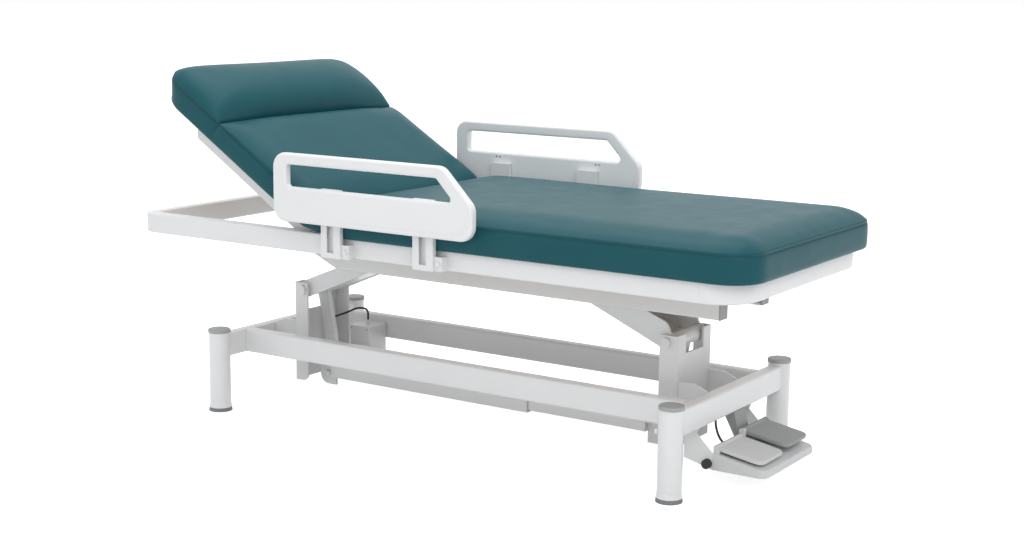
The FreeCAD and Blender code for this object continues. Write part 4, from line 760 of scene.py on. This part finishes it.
def guard_details():
    """A raised line on both faces of each guard, and the screws that hold its slides."""
    for hand, sign in (("right", -1), ("left", 1)):
        low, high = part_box("guard_" + hand)
        outer = sign * max(abs(low.y), abs(high.y))
        inner = sign * min(abs(low.y), abs(high.y))
        base = low.z + LINE_UP
        start = low.x + LINE_START
        for face, y in (("outer", outer), ("inner", inner)):
            points = [(start, y, base), (start + LINE_LEAD, y, base)]
            points += [(high.x - back, y, base + rise) for back, rise in LINE_TURN]
            raised_line("guard_line_%s_%s" % (hand, face), points, hand + "_guard")
        slides_low, slides_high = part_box("guard_slides_" + hand)
        for end, x in (("head", slides_low.x), ("foot", slides_high.x)):
            for k in range(2):
                place = (x + k * GUARD_SCREW_GAP, inner, low.z + GUARD_SCREW_UP)
                button_screw("guard_screw_%s_%s_%d" % (hand, end, k), place, (0, -sign, 0),
                             hand + "_guard", GUARD_SCREW_RADIUS, GUARD_SCREW_HIGH)


def control_box_screws():
    """Four screws in the near face of the control box."""
    low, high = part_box("control_box")
    foot_of_box = low.z + BOX_SCREW_INSET
    for i, x in enumerate((low.x + BOX_SCREW_INSET, high.x - BOX_SCREW_INSET)):
        for j, z in enumerate((foot_of_box, foot_of_box + BOX_SCREW_SPAN)):
            button_screw("box_screw_%d_%d" % (i, j), (x, low.y, z), (0, -1, 0), "base",
                         BOX_SCREW_RADIUS, BOX_SCREW_HIGH)


def camera():
    """The photograph's viewpoint: its place, its turns and its angle of view."""
    forward = Vector((-math.sin(CAMERA_YAW) * math.cos(CAMERA_PITCH),
                      math.cos(CAMERA_YAW) * math.cos(CAMERA_PITCH), -math.sin(CAMERA_PITCH)))
    level = Vector((math.cos(CAMERA_YAW), math.sin(CAMERA_YAW), 0))
    upward = level.cross(forward)
    right = level * math.cos(CAMERA_ROLL) + upward * math.sin(CAMERA_ROLL)
    up = upward * math.cos(CAMERA_ROLL) - level * math.sin(CAMERA_ROLL)
    data = bpy.data.cameras.new("photo_camera")
    data.sensor_width = SENSOR_WIDTH
    data.lens = LENS
    seen_from = bpy.data.objects.new("photo_camera", data)
    bpy.context.scene.collection.objects.link(seen_from)
    turn = Matrix((right, up, -forward)).transposed().to_4x4()
    seen_from.matrix_world = Matrix.Translation(CAMERA_PLACE) @ turn
    bpy.context.scene.camera = seen_from


def seen_directly(tree):
    """1 for what the camera, a reflection or a clear material sees, and 0 for light."""
    path = add_node(tree, "ShaderNodeLightPath")
    either = add_node(tree, "ShaderNodeMath", operation="MAXIMUM")
    tree.links.new(path.outputs["Is Camera Ray"], either.inputs[0])
    tree.links.new(path.outputs["Is Glossy Ray"], either.inputs[1])
    any_of = add_node(tree, "ShaderNodeMath", operation="MAXIMUM")
    tree.links.new(either.outputs[0], any_of.inputs[0])
    tree.links.new(path.outputs["Is Transmission Ray"], any_of.inputs[1])
    return any_of.outputs[0]


def seen_or_lit(tree, lighting, seen, output):
    """Shows one shader where it is seen, and lights the scene with the other."""
    choose = add_node(tree, "ShaderNodeMixShader")
    tree.links.new(seen_directly(tree), choose.inputs["Fac"])
    tree.links.new(lighting.outputs[0], choose.inputs[1])
    tree.links.new(seen.outputs[0], choose.inputs[2])
    tree.links.new(choose.outputs[0], tree.nodes[output].inputs["Surface"])


def studio():
    """A white room: soft lamps, a white world and a pale floor that keeps a faint shadow."""
    world = bpy.data.worlds.new("studio")
    bpy.context.scene.world = world
    world.use_nodes = True
    tree = world.node_tree
    light = tree.nodes["Background"]
    light.inputs["Color"].default_value = (*WORLD_TINT, 1)
    light.inputs["Strength"].default_value = WORLD_LIGHT
    white = add_node(tree, "ShaderNodeBackground")
    white.inputs["Color"].default_value = (1, 1, 1, 1)
    white.inputs["Strength"].default_value = 1.0
    seen_or_lit(tree, light, white, "World Output")

    bpy.ops.mesh.primitive_plane_add(size=FLOOR_SIZE, location=(0, 0, 0))
    floor = bpy.context.object
    floor.name = "floor"
    material, tree, shader, place = new_material("pale_floor", Roughness=0.9, Specular_IOR_Level=0.1)
    tone = blend_colours(tree, noise_node(tree, place, scale=3.0), (0.80, 0.80, 0.80), (0.83, 0.83, 0.83))
    tree.links.new(tone, shader.inputs["Base Color"])
    glow = add_node(tree, "ShaderNodeEmission")
    glow.inputs["Strength"].default_value = FLOOR_GLOW
    glowing = add_node(tree, "ShaderNodeAddShader")
    tree.links.new(shader.outputs[0], glowing.inputs[0])
    tree.links.new(glow.outputs[0], glowing.inputs[1])
    seen_or_lit(tree, shader, glowing, "Material Output")
    floor.data.materials.append(material)

    for name, place, size, energy in LAMPS:
        data = bpy.data.lights.new(name, "AREA")
        data.shape = "DISK"
        data.size = size
        data.energy = energy
        lamp = bpy.data.objects.new(name, data)
        bpy.context.scene.collection.objects.link(lamp)
        aim = LAMP_AIM - Vector(place)
        lamp.matrix_world = Matrix.Translation(place) @ aim.to_track_quat("-Z", "Y").to_matrix().to_4x4()


camera()
studio()
for node_name, node in nodes.items():
    finish_node(node_name, node)
seat_cushion()
back_cushion()
guard_details()
control_box_screws()
bpy.context.scene.view_settings.view_transform = "Standard"
